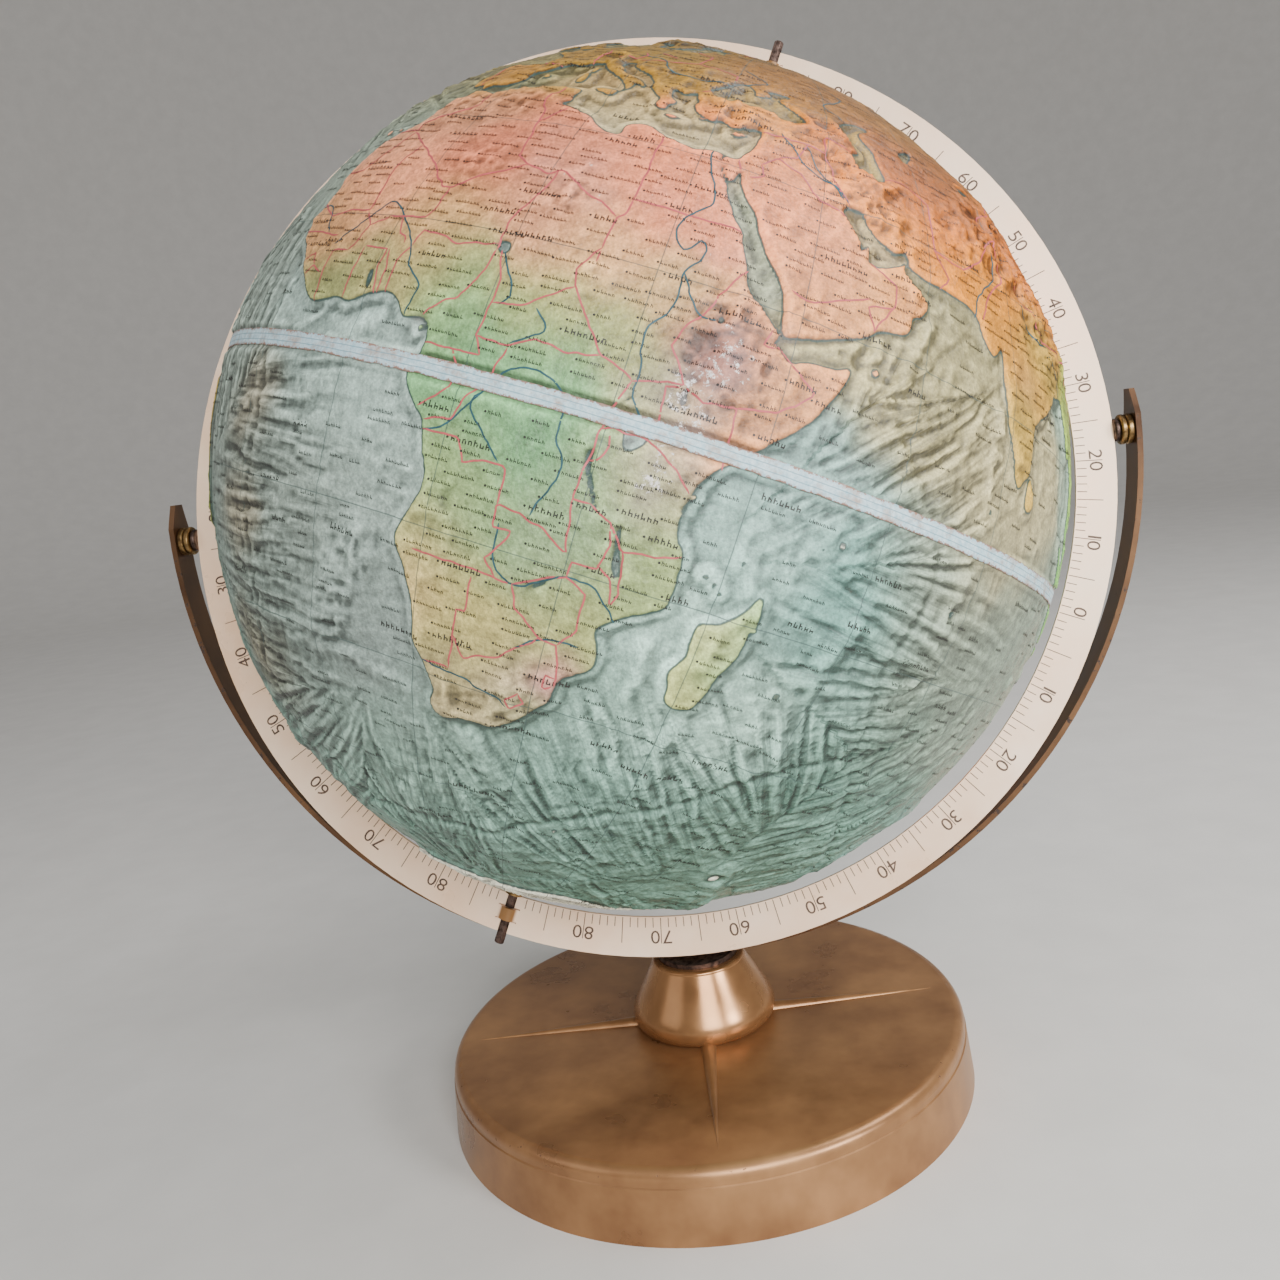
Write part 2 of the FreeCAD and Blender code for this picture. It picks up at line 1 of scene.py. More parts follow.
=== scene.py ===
"""Looks of a desktop globe on its stand.

The CAD frame gives every piece its size, place and motion. This script adds the moulded relief map,
the frayed tape at its equator, the ring's scale, and the finishes of every metal piece. Lengths are
in metres unless a name ends in _mm, and map places are degrees of latitude and longitude.
"""
from __future__ import annotations

import json
import logging
import math
import sys
from dataclasses import dataclass, field
from enum import Enum

import bpy
import numpy as np
from mathutils import Matrix, Vector

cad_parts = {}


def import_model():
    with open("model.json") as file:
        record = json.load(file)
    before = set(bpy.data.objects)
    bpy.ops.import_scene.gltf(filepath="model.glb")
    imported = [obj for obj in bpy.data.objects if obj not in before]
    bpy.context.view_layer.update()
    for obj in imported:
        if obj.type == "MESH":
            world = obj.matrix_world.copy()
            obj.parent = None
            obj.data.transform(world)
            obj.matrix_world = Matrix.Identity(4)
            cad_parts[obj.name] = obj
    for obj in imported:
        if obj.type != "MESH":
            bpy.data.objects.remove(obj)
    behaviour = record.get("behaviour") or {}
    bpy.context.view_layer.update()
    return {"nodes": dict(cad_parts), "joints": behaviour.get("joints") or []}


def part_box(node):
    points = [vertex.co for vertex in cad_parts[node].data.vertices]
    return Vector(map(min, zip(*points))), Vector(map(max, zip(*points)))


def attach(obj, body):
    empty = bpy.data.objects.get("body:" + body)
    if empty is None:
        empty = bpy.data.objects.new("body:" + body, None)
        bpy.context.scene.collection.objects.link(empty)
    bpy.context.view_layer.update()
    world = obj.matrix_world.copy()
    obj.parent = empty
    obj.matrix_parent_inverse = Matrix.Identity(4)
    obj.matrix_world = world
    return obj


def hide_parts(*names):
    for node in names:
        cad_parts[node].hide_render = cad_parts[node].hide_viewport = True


log = logging.getLogger("globe")
MM = 0.001
GLOBE_RADIUS = 0.1524
HASH_STEPS = (374761393, 668265263, 2147483647)  # odd multipliers that scatter a lattice cell
HASH_MIX = 1274126177
SEED_STEP = 97531

# Small tools ---------------------------------------------------------------------------------


def linear(hex_colour: str) -> tuple[float, float, float, float]:
    """Turn an sRGB hex colour into linear RGBA.

    Args:
        hex_colour: six hexadecimal digits, with or without a leading hash.

    Returns:
        Linear red, green, blue and an alpha of one.
    """
    digits = hex_colour.lstrip("#")
    channels = [int(digits[place:place + 2], 16) / 255 for place in (0, 2, 4)]
    curved = [c / 12.92 if c <= 0.04045 else ((c + 0.055) / 1.055) ** 2.4 for c in channels]
    return curved[0], curved[1], curved[2], 1.0


def node(tree: bpy.types.NodeTree, kind: str, settings: dict | None = None,
         **inputs: object) -> bpy.types.Node:
    """Add a shader node with its settings and links.

    Args:
        tree: the material's node tree.
        kind: the node's type name without its ShaderNode prefix.
        settings: attributes of the node itself.
        inputs: socket values or links; a name like in_0 is a socket's number, any other is its
            name with spaces written as underscores.

    Returns:
        The new node.
    """
    made = tree.nodes.new("ShaderNode" + kind)
    for name, value in (settings or {}).items():
        setattr(made, name, value)
    for name, value in inputs.items():
        number = name.removeprefix("in_")
        socket = made.inputs[int(number) if number != name else name.replace("_", " ")]
        if isinstance(value, bpy.types.NodeSocket):
            tree.links.new(value, socket)
        else:
            socket.default_value = value
    return made


def new_material(name: str) -> tuple[bpy.types.Material, bpy.types.NodeTree, bpy.types.Node,
                                     bpy.types.NodeSocket]:
    """Start a material on its principled shader.

    Args:
        name: the material's name.

    Returns:
        The material, its node tree, its shader, and the object coordinates' socket.
    """
    made = bpy.data.materials.new(name)
    made.use_nodes = True
    tree = made.node_tree
    return made, tree, tree.nodes["Principled BSDF"], node(tree, "TexCoord").outputs["Object"]


def mixed(tree: bpy.types.NodeTree, factor: bpy.types.NodeSocket, first: object,
          second: object) -> bpy.types.NodeSocket:
    """Blend two colours.

    Args:
        tree: the material's node tree.
        factor: 0 gives the first colour and 1 the second.
        first: a socket or a linear RGBA value.
        second: a socket or a linear RGBA value.

    Returns:
        The blended colour's socket.
    """
    mix = node(tree, "Mix", {"data_type": "RGBA"}, Factor=factor)
    for name, value in (("A", first), ("B", second)):
        if isinstance(value, bpy.types.NodeSocket):
            tree.links.new(value, mix.inputs[name])
        else:
            mix.inputs[name].default_value = value
    return mix.outputs["Result"]


def grain(tree: bpy.types.NodeTree, where: bpy.types.NodeSocket, size_mm: float, detail: float,
          roughness: float = 0.5) -> bpy.types.NodeSocket:
    """Noise from 0 to 1.

    Args:
        tree: the material's node tree.
        where: the coordinates that it lies on.
        size_mm: the coarsest grains' size.
        detail: how many finer layers are added.
        roughness: strength of each layer against the one before.

    Returns:
        The noise's socket.
    """
    made = node(tree, "TexNoise", Vector=where, Scale=1 / (size_mm * MM), Detail=detail, Roughness=roughness)
    return made.outputs["Fac"]


def ranged(tree: bpy.types.NodeTree, value: bpy.types.NodeSocket, low: float, high: float,
           start: float = 0.0, end: float = 1.0) -> bpy.types.NodeSocket:
    """Straight map of a value between low and high on to start and end, held beyond them."""
    return node(tree, "MapRange", in_0=value, in_1=low, in_2=high, in_3=start, in_4=end).outputs[0]


def maths(tree: bpy.types.NodeTree, operation: str, *values: object) -> bpy.types.NodeSocket:
    """One operation on sockets or numbers, in the order of its node's inputs."""
    inputs = {f"in_{place}": value for place, value in enumerate(values)}
    return node(tree, "Math", {"operation": operation}, **inputs).outputs[0]


def relief(tree: bpy.types.NodeTree, height: bpy.types.NodeSocket, depth_mm: float, strength: float,
           **under: bpy.types.NodeSocket) -> bpy.types.NodeSocket:
    """Normal of a bump of a given depth, over another normal if one is given."""
    return node(tree, "Bump", Height=height, Distance=depth_mm * MM, Strength=strength, **under).outputs[0]


def smooth(values: np.ndarray, low: float, high: float) -> np.ndarray:
    """Smooth step: 0 below low, 1 above high, and 3t^2 - 2t^3 between."""
    t = np.clip((values - low) / (high - low), 0, 1)
    return t * t * (3 - 2 * t)


def lattice_noise(points: np.ndarray, seed: int) -> np.ndarray:
    """Value noise from -1 to 1: random numbers on a cubic lattice, blended with a quintic curve.

    Args:
        points: places, one row each, in lattice units.
        seed: picks another set of random numbers.

    Returns:
        One number for each place.
    """
    cell = np.floor(points).astype(np.int64)
    part = points - cell
    blend = part ** 3 * (part * (part * 6 - 15) + 10)
    total = np.zeros(len(points))
    for corner in range(8):
        step = np.array([corner & 1, corner >> 1 & 1, corner >> 2 & 1])
        where = cell + step
        scrambled = where @ np.array(HASH_STEPS) + seed * SEED_STEP
        scrambled = (scrambled ^ (scrambled >> 13)) * HASH_MIX & 0xFFFFFFFF
        scrambled = (scrambled ^ (scrambled >> 16)) & 0xFFFF
        share = np.prod(np.where(step, blend, 1 - blend), axis=1)
        total += share * (scrambled / 32767.5 - 1)
    return total


def fractal(points: np.ndarray, octaves: int, seed: int, ridged: bool = False) -> np.ndarray:
    """Sum of noises, each twice as fine and half as strong as the last, scaled to about -1 to 1.

    Args:
        points: places in units of the coarsest noise.
        octaves: how many noises are added.
        seed: picks another pattern.
        ridged: True turns each noise n into 1 - 2|n|, which has sharp crests.

    Returns:
        One number for each place.
    """
    total = np.zeros(len(points))
    weight = 0.0
    for octave in range(octaves):
        layer = lattice_noise(points * 2.0 ** octave + 17.3 * octave, seed + octave)
        layer = 1 - 2 * np.abs(layer) if ridged else layer
        total += layer * 0.5 ** octave
        weight += 0.5 ** octave
    return total / weight


def new_mesh(name: str, points: np.ndarray, faces: list, body: str,
             shaded: bool = True) -> bpy.types.Object:
    """Make a mesh piece that rides on a body.

    Args:
        name: the piece's name.
        points: vertex places in metres, one row each.
        faces: vertex numbers, one list for each face.
        body: the CAD body that it rides on.
        shaded: True shades it smooth.

    Returns:
        The new object.
    """
    mesh = bpy.data.meshes.new(name)
    mesh.from_pydata(points.tolist(), [], faces)
    if shaded:
        mesh.shade_smooth()
    piece = bpy.data.objects.new(name, mesh)
    bpy.context.scene.collection.objects.link(piece)
    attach(piece, body)
    log.info("%s: %d faces on %s", name, len(faces), body)
    return piece


def store(mesh: bpy.types.Mesh, name: str, values: np.ndarray) -> None:
    """Keep a field on a mesh's vertices, as numbers or as vectors.

    Args:
        mesh: the mesh.
        name: the attribute's name.
        values: one number or one row of three for each vertex.
    """
    kind, part = ("FLOAT", "value") if values.ndim == 1 else ("FLOAT_VECTOR", "vector")
    layer = mesh.attributes.new(name, kind, "POINT")
    layer.data.foreach_set(part, values.astype(np.float32).ravel())


def grid_faces(index: np.ndarray) -> np.ndarray:
    """Quads between the neighbours of a grid of vertex numbers: here, next, across, above."""
    corners = [index[:-1, :-1], index[:-1, 1:], index[1:, 1:], index[1:, :-1]]
    return np.stack(corners, axis=-1).reshape(-1, 4)


# Map data, written as rows of "latitude longitude" --------------------------------------

# Outlines of land, and of the water inside them
LAND = {
    "africa": """35.8 -5.9,35.3 -3,35.1 -2.1,35.7 -.7,36.5 2.6,36.8 5.1,37.1 7,37.3 9.8,36.9 10.9,35.7 10.7,
        34.7 10.9,33.9 10,33.6 11.1,32.9 13.2,32.4 15.2,31.2 16.5,30.4 18.5,30.4 19.9,31.9 20,32.9 21.7,
        32.7 23.1,31.7 25,31.4 27.3,30.9 29,31.3 30.2,31.5 31.1,31.3 32.3,30 32.6,28.7 33,27.2 33.9,26 34.3,
        24 35.5,22 36.9,20.8 37.2,18 38.5,15.9 39.3,14.7 40.8,12.5 43.3,11.6 43.1,10.4 44.9,11.2 47.5,
        11.3 49.5,11.9 51.2,10.4 51.1,8 50,5.5 48.5,2 45.3,-.4 42.6,-2.3 40.9,-4.1 39.6,-6.8 39.3,-8.9 39.5,
        -10.4 40.5,-14.9 40.8,-16.2 39.9,-17.8 36.9,-19.9 34.8,-21.5 35.4,-24 35.5,-25.9 32.7,-28.8 32.1,
        -29.9 31,-31.5 29.5,-33 27.9,-34 25.7,-34.1 23,-34.4 21.5,-34.8 20,-34.2 18.5,-33.1 17.9,-31.5 18.2,
        -28.6 16.4,-26.6 15.1,-22.9 14.5,-20 13.2,-17.3 11.8,-15.8 11.9,-12.4 13.5,-10.7 13.8,-8.8 13.2,
        -6.1 12.3,-4.8 11.8,-3 10.1,-.7 8.8,.5 9.4,2.4 9.8,3.9 9.6,4.5 8.6,4.3 7,4.4 6.1,5.6 5.1,6.4 3.5,
        6.2 1.3,5.6 0,4.8 -2,5.2 -4,4.4 -7.6,6.3 -10.8,8.5 -13.2,9.5 -13.7,11 -15,12 -16.6,13.4 -16.7,
        14.7 -17.5,16 -16.5,18.1 -16,19.5 -16.4,20.9 -17,23.7 -15.9,26.1 -14.5,27.9 -12.9,29 -10.5,
        30.4 -9.6,31.5 -9.8,33 -8.5,33.6 -7.6,34.3 -6.6""",
    "eurasia": """30 32.6,29 32.8,27.8 34.2,29.5 34.9,27.6 35.4,25.5 37,24.1 38,21.5 39.1,19.1 41,16.9 42.5,
        15 42.8,12.7 43.5,12.8 45,14 48.4,15.6 52.2,17 54.1,17.9 57,20 57.9,20.6 58.9,22.5 59.8,23.6 58.6,
        24.9 56.4,26.3 56.4,25.3 55.3,24.2 53,24.3 51.5,26.1 51.2,25.3 50.5,26.5 50.1,28.5 48.6,29.4 47.9,
        30 48.6,30.1 50.1,28.9 50.9,27.5 52.6,26.6 54.5,27.1 56.3,25.8 57.3,25.3 60.6,25.2 64,24.8 67,
        23.7 68.3,22.3 69,20.8 70.9,22.2 72.4,20.5 72.9,18.9 72.8,15.4 73.8,12 75.2,8.1 77.5,9.3 79.2,
        10.3 79.9,13.1 80.3,15.9 80.8,17.7 83.3,20 86.4,21.6 87.3,21.8 89.2,22.3 91.8,20.1 93,16 94.3,
        16.5 96.2,15 97.7,12 98.6,8 98.3,5.4 100.3,2.9 101.3,1.3 103.8,3.8 103.4,6.2 102.2,7.2 100.6,
        9.3 99.3,11.8 99.8,13.5 100.4,12.6 101.8,11.6 103,10.3 104.5,8.6 104.8,10.4 107.1,12 109.2,
        15.2 108.9,17.5 106.5,19.5 105.8,20.8 107,21.6 108.6,20.3 110,21.8 112,22.3 114.2,24.5 118.2,28 121,
        31 122,34.5 119.8,36.9 122.4,37.5 120.5,38.9 117.8,40.8 121,38.9 121.5,39.9 124.3,37.5 126.4,
        34.4 126.5,35.2 129.1,38 128.6,40 127.8,42.4 130.6,43.1 132,46.5 138.2,51 140.7,53.2 141.2,54.5 137,
        56.5 138.3,59.4 143.2,59.3 152,61.8 157,62.3 163.5,60 163,57.8 161.9,57 156.7,51.1 156.7,53 158.7,
        56.1 162.9,60.3 170.2,62.5 179.2,64.6 178.5,64.3 186.8,66.1 190.3,68.7 180.5,69.9 176,69.7 170.2,
        69.6 161.5,71 152,72.8 141,71.5 137,71.5 130,73.8 127,73.2 118,73.9 110,77.7 104.3,75.9 93,
        73.6 80.5,71.5 83,72.9 74.8,68.5 73.5,71 72.6,72.9 69.5,69 67,69.5 60.5,68.2 54,68.5 44,66.5 44,
        64.6 40.4,64 37.5,66.8 33,66.1 40,68 39.5,69.6 32,71.1 25.8,69.5 18,67 14.2,63.8 9.5,62 5.1,59 5.6,
        58 7.2,59.2 10.6,57.7 11.8,55.5 12.9,55.2 11,57.7 10.6,56.5 8.1,54.5 8.7,53.6 8,53.3 6,52 4.2,
        50.9 1.8,49.5 .2,49.7 -1.6,48.6 -2.5,48.4 -4.7,47.3 -2.5,45.6 -1.2,43.5 -1.5,43.5 -5,43.6 -8,
        43.1 -9.3,41.2 -8.7,38.7 -9.5,37 -8.9,37.2 -7,36.1 -5.6,36.7 -4.4,36.8 -2.2,37.6 -.8,38.8 .2,40 0,
        41.3 2.1,42.4 3.2,43.4 4.5,43.1 6.2,44.4 8.9,43.5 10.3,42 11.9,41.2 13.2,40.6 14.6,39 16.1,38 15.7,
        38.9 16.6,39.6 16.9,40.5 17,39.9 18.4,40.7 18,41.9 16.2,42.5 14.2,43.6 13.5,44.5 12.3,45.5 12.4,
        45.7 13.7,44.9 13.9,44 15.2,42.7 18,41.3 19.4,40.4 19.3,38.9 20.8,38.2 21.5,36.8 21.7,36.4 22.5,
        36.5 23.1,37.4 23.3,38 24,39.2 23,40.5 22.9,40.1 24.2,40.9 25.9,40.1 26.2,39.2 26.7,38.3 26.4,
        37 27.3,36.7 28.3,36.2 29.6,36.8 30.7,36.1 32.5,36.6 34.2,36.8 36,35 35.8,33.9 35.5,32.8 35,
        31.5 34.4,31.2 33.5,31.3 32.3""",
    "madagascar": """-12 49.3,-13.5 49.9,-15.9 50.4,-15.6 49.7,-18.1 49.4,-20.5 48.5,-23 47.8,-25 47,
        -25.5 45.2,-24.9 44.1,-23.4 43.6,-21.8 43.3,-19.8 44.4,-17.5 44,-16.2 44.4,-15.7 46.3,-14.5 47.6,
        -13.4 48.3""",
    "ceylon": "9.7 80.1,8.5 81.3,6.8 81.9,6 80.6,7 79.8",
    "britain": """58.6 -3.2,57.6 -1.9,56 -3,54.8 -1.4,53 .4,52.6 1.7,51.3 1.3,50.8 0,50.6 -2.5,50.1 -5.6,
        51.3 -3.2,51.8 -5.1,53.3 -4.4,54 -3,54.8 -4.9,56 -5.6,58.5 -5""",
    "ireland": "55.3 -7,54.3 -5.6,52.2 -6.4,51.6 -9.8,53.4 -10,54.3 -8.6",
    "iceland": "65.6 -24,66.2 -22.6,65.6 -20.3,66.1 -16.4,65 -13.7,63.5 -18.8,64 -22.5",
    "sicily": "38.1 12.7,38.2 15.5,36.8 15.1,37.5 12.8",
    "sardinia": "41.2 9.2,39.2 9.6,38.9 8.5,40.9 8.3",
    "corsica": "43 9.4,41.5 9.2,42.3 8.6",
    "crete": "35.5 23.6,35.3 26.3,35 24.8",
    "cyprus": "35.1 32.4,35.6 34.4,34.7 33.2",
    "spitsbergen": "79.8 11,80.1 18,78.9 21.5,76.7 16.8,78.2 13.5",
    "novaya_zemlya": "76.9 68.5,75 61,72.5 55.5,70.7 57.5,73.5 53.5,75.8 58,76.6 63",
    "sakhalin": "54.3 142.5,51 143.7,46 143.5,46 142,51.5 141.8",
    "hokkaido": "45.4 142,43.3 145.6,42 143.3,41.5 140.2,43.3 140.5",
    "honshu": """41.3 141.3,39 142,35.7 140.7,34.6 138.3,33.5 135.8,34.3 132,34.2 130.9,35.6 134.5,37.3 137,
        39.8 140""",
    "kyushu": "33.9 131,31.3 131.2,31.3 130.3,33.3 129.7",
    "shikoku": "34.3 134.4,32.8 133,33.5 132.3",
    "formosa": "25.2 121.6,22 120.8,23.8 120.2",
    "hainan": "20 110.6,18.3 109.5,19.5 108.8",
    "luzon": "18.5 121.5,15 121.5,13 123.8,13.8 120.8,16.3 120",
    "mindanao": "9.6 125.5,6.3 126,6 124.2,7 122.2,8.3 123.5",
    "visayas": "12.3 125,10.3 124.8,10 122.6,11.6 122.2",
    "palawan": "11 119.4,8.5 117.3,9.8 118.2",
    "borneo": "7 116.8,5.2 119.2,1 118.5,-3.8 116.2,-3 111.8,1.7 109.5,3 113",
    "sumatra": "5.6 95.4,3.7 98.8,-1 104,-5.8 105.7,-3.5 102.2,1.5 98.7",
    "java": "-6 106,-6.8 110.9,-7.8 114.5,-8.3 111,-7.2 106.5",
    "celebes": "1.3 125,.4 121,-.8 120.8,-4.8 122.6,-2.8 121.2,-5.5 119.6,0 119.9,1 121",
    "timor": "-8.4 127,-10.3 123.7,-9.2 124.5",
    "flores": "-8.2 117,-8.4 122.7,-8.9 119.5",
    "bali": "-8.2 114.7,-8.4 116.6,-8.9 116",
    "halmahera": "2 128,-.4 128.3,.5 127.5",
    "ceram": "-2.9 128.5,-3.4 130.7,-3.4 128",
    "new_guinea": """-.8 131.3,-.5 134,-3.3 135.5,-1.9 138,-3.3 143,-6 147.5,-10.4 150.6,-9.2 147,
        -7.8 143.8,-9 141.5,-8 138.5,-4.2 135,-2.9 132.2""",
    "new_britain": "-4.2 152.2,-5.8 150.3,-5.6 148.5",
    "solomons": "-6.8 155.8,-9.6 160.6,-10.6 162,-8 157.6",
    "australia": """-10.7 142.5,-14.5 143.8,-16.9 145.9,-19.3 147,-21.5 149.5,-24.5 152.6,-28 153.6,
        -32 152.6,-35 150.8,-37.5 149.9,-39 146.4,-38.4 143.5,-38 140.6,-35.6 138.4,-33 137.8,-34.9 135.7,
        -32 133,-31.5 130,-33.9 123.5,-35 118,-34.3 115.1,-31.9 115.7,-26.5 113.4,-22 113.9,-20.3 118.6,
        -17.9 122.2,-14.5 125.5,-15 128.5,-12.4 130.8,-11.2 132.6,-12.2 136.8,-14.8 135.5,-17.6 140.6,
        -14.5 141.6""",
    "tasmania": "-40.8 145,-41 148.2,-43.5 146.9",
    "north_zealand": "-34.5 172.8,-37.7 178.4,-41.5 175.3,-39.3 173.8,-36.5 174.5",
    "south_zealand": "-40.6 172.7,-41.6 174.2,-43.8 172.9,-46.5 169,-45.8 166.6,-43 170.5",
    "caledonia": "-20.3 164.3,-22.3 166.9,-21.5 165.3",
    "north_america": """65.6 -168,64.5 -162,60 -165,58.6 -162,58.7 -157,54.9 -163.5,57 -157.5,59.5 -152,
        61 -149.8,60 -145,59.8 -140,58.3 -136.5,55.5 -131.5,51 -127.8,49 -123,48.4 -124.6,46.2 -124,
        43 -124.5,40.4 -124.4,38 -122.9,34.5 -120.6,32.5 -117.1,30 -115.8,27.8 -114.8,24.8 -112.1,
        22.9 -109.9,24.5 -110.6,27.8 -112.7,31.5 -114.6,31.2 -113,28 -111,25.8 -109.4,23.2 -106.4,
        20.5 -105.6,18 -102.8,16.8 -99.9,15.7 -96.5,16.2 -94.8,14.5 -92.2,13.2 -89,12.5 -87.5,10.8 -85.8,
        8.4 -83.2,7.3 -81,8.9 -79.6,7.3 -78,8.7 -77.3,9.5 -79.8,9 -82,11 -83.7,15 -83.2,15.9 -86,15.8 -88.5,
        18.5 -88.2,21.4 -87,21.1 -90.3,18.6 -92,18.2 -94.5,19.2 -96.1,22.3 -97.8,25.9 -97.2,28 -97.1,
        29.6 -94.5,29.1 -90.2,30.3 -88,29.7 -85.2,30 -84,28 -82.8,25.2 -81,25.5 -80.2,28.5 -80.6,31 -81.4,
        33.9 -78,35.2 -75.6,37 -76,39 -74.8,40.6 -73.9,41.6 -70.2,43.7 -70.1,44.8 -67,43.5 -65.5,45.5 -61,
        46.5 -64.5,49 -64.8,47 -70.5,50.2 -66.4,50.3 -60,52.2 -55.7,55 -59,58.5 -62.5,60.4 -64.6,58.8 -68,
        61 -70,62.3 -78,58.5 -78,55 -77.5,51.3 -79.5,55 -82.3,57 -89,58.8 -94.2,62 -93,64 -88.5,66.5 -86,
        69.5 -82,69 -90,71.9 -94.5,68 -97,68 -108,69.5 -115.5,69.6 -125,69 -135.5,70.3 -145,71.4 -156.6,
        69 -164.5,66.6 -163.5""",
    "victoria_land": "73 -105,71 -105,69 -105.5,68.8 -113.5,70.5 -117.5,73 -117",
    "banks": "74.4 -121,72.7 -125.5,71.2 -123,73.3 -117.5",
    "baffin": """73.8 -85,72.5 -78,70.5 -68.5,67 -62,63 -64.8,62.6 -66,65.5 -67.5,64.5 -75,66.5 -73,69 -77,
        70.5 -85,72.5 -89.5""",
    "ellesmere": "83 -70,81 -64,78.5 -75,76.4 -80,77 -89,80.5 -92,82.5 -85",
    "newfoundland": "51.5 -55.6,49.3 -53.5,46.7 -53.2,47.6 -59.2",
    "southampton": "65.8 -84,63.5 -80.5,63 -87",
    "cuba": "23.1 -82.5,21.5 -77,20.2 -74.2,20 -77.6,22.2 -83.9,21.9 -84.9",
    "hispaniola": "19.9 -73,19.3 -69,18.5 -68.4,18 -71.5,18.4 -74.4",
    "jamaica": "18.5 -78,17.9 -76.4,17.9 -77.8",
    "greenland": """83.4 -33,81.5 -13,78 -19,75 -19,70.5 -22,68.5 -27,65.5 -38.5,61 -43,60 -44.5,61.5 -48.8,
        65 -52.7,69 -52,72.5 -55.5,75.8 -60,76.2 -69,78 -72.5,80 -66,82 -55""",
    "south_america": """8.7 -77.3,10.5 -75.5,11.3 -74,12.4 -71.7,10.8 -71.6,11.5 -69.8,10.6 -66,10.7 -62,
        8.5 -60,6.5 -57.5,5.8 -54.5,4.3 -51.5,1.5 -49.8,-.8 -48,-2.6 -44.2,-3 -40,-5.1 -35.4,-8 -34.8,
        -12.9 -38.4,-17.8 -39.2,-20.3 -40.3,-22.9 -42,-24 -46.3,-28 -48.6,-32 -52.1,-34.9 -55,-34.6 -58.4,
        -36.3 -56.8,-38.2 -57.7,-39 -61.5,-41 -64.8,-42.5 -63.7,-45 -65.6,-47 -65.8,-50 -68,-52.3 -68.4,
        -54.8 -65.3,-55.6 -68,-53 -73.5,-50 -75.4,-46.5 -75.4,-42 -73.9,-37.2 -73.5,-33 -71.6,-27 -70.8,
        -20.2 -70.1,-18.4 -70.4,-16 -74,-12.1 -77.1,-8 -79.2,-5 -81.2,-2.5 -80.2,1 -79.8,3.9 -77.3,
        6.5 -77.4,7.3 -78""",
    "falklands": "-51.4 -60.8,-51.6 -58,-52.3 -60",
    "antarctica": """-70 -180,-78 -165,-77 -150,-74.5 -135,-74.5 -115,-72.5 -100,-73 -80,-69 -68,-63.3 -57,
        -66 -61,-72 -61,-78 -40,-75 -27,-71 -10,-70 5,-69.5 20,-69.5 33,-67 45,-66.5 55,-69.5 73,-66.5 85,
        -66.5 100,-66 112,-66.5 125,-66 138,-68.5 150,-71 165,-78 167,-78 180,-95 180,-95 -180""",
}
WATER = {
    "baltic": """54.4 10.9,54.3 13,54.4 18.6,55.7 21,57.5 21.6,57 24,58.3 23.5,59.4 24.7,59.9 29.8,60.3 25,
        60 22.9,61.5 21.5,63.2 21.5,65 25,65.7 23.5,64 20.8,62.4 17.5,60.7 17.2,59 18,57.5 16.7,56.1 15.8,
        55.4 14.2""",
    "black_sea": """41.2 29.1,41.4 31.4,42 35.1,41 38.5,41.6 41.6,43.4 40,45 37.3,47 39.2,46.6 35.5,45.3 36,
        44.4 33.8,46 33,46.6 31.5,45 29.7,43.2 28,42.5 27.5""",
    "caspian": """36.9 50.5,37 53.9,40 53,41.5 52.7,43.3 51.2,45 51,46.8 53,47 51.5,46 48.5,44 47.3,42.5 48,
        40.4 50.2,39 49,37.4 49.4""",
    "aral": "46.7 61.5,45 58.4,43.6 59.3,45 60.6",
    "balkhash": "46.5 74,46.8 79,45.2 74.2",
    "baikal": "55.6 109.7,52 106,51.5 104,53 108",
    "victoria": ".3 32.8,.2 34,-1.5 33.9,-2.6 32.8,-2.4 31.9,-.8 31.7",
    "tanganyika": "-3.4 29.4,-5.5 29.8,-7.8 31,-8.6 31.1,-7.2 30.3,-4.8 29.1",
    "nyasa": "-9.5 33.9,-11.5 34.5,-14.3 35.2,-13.5 34.4,-11 34",
    "rudolf": "4.6 36.1,3.2 36.3,2.5 36.7,3.4 35.9",
    "albert": "2.2 31.4,1.2 30.5,1.5 30.8",
    "chad": "13.9 13.5,13.9 14.6,12.9 14.7,12.9 13.9",
    "tana": "12.2 37.2,12 37.6,11.7 37.3",
    "volta": "8.6 -.4,7.4 .2,6.6 0,7.4 -.5",
    "kariba": "-16.6 28.6,-17 28.3,-17.7 27.3,-17.2 27.6",
    "superior": "48.5 -88.5,48.3 -86,46.6 -84.8,46.8 -88,46.8 -91.5",
    "michigan": "45.8 -86,43 -86.3,41.8 -87.3,43.5 -87.7",
    "huron": "46 -83,45.5 -80.2,43.3 -81.8,44.5 -83.3",
    "erie": "42.8 -79,41.6 -82.8,42 -83",
    "winnipeg": "53.5 -98.5,50.6 -96.6,52 -98.6",
    "great_bear": "66.5 -119,65.2 -122.5,66.3 -125",
    "great_slave": "62.7 -110,61 -116,62 -113.5",
    "titicaca": "-15.4 -69.8,-16.4 -69,-16.2 -69.7",
}
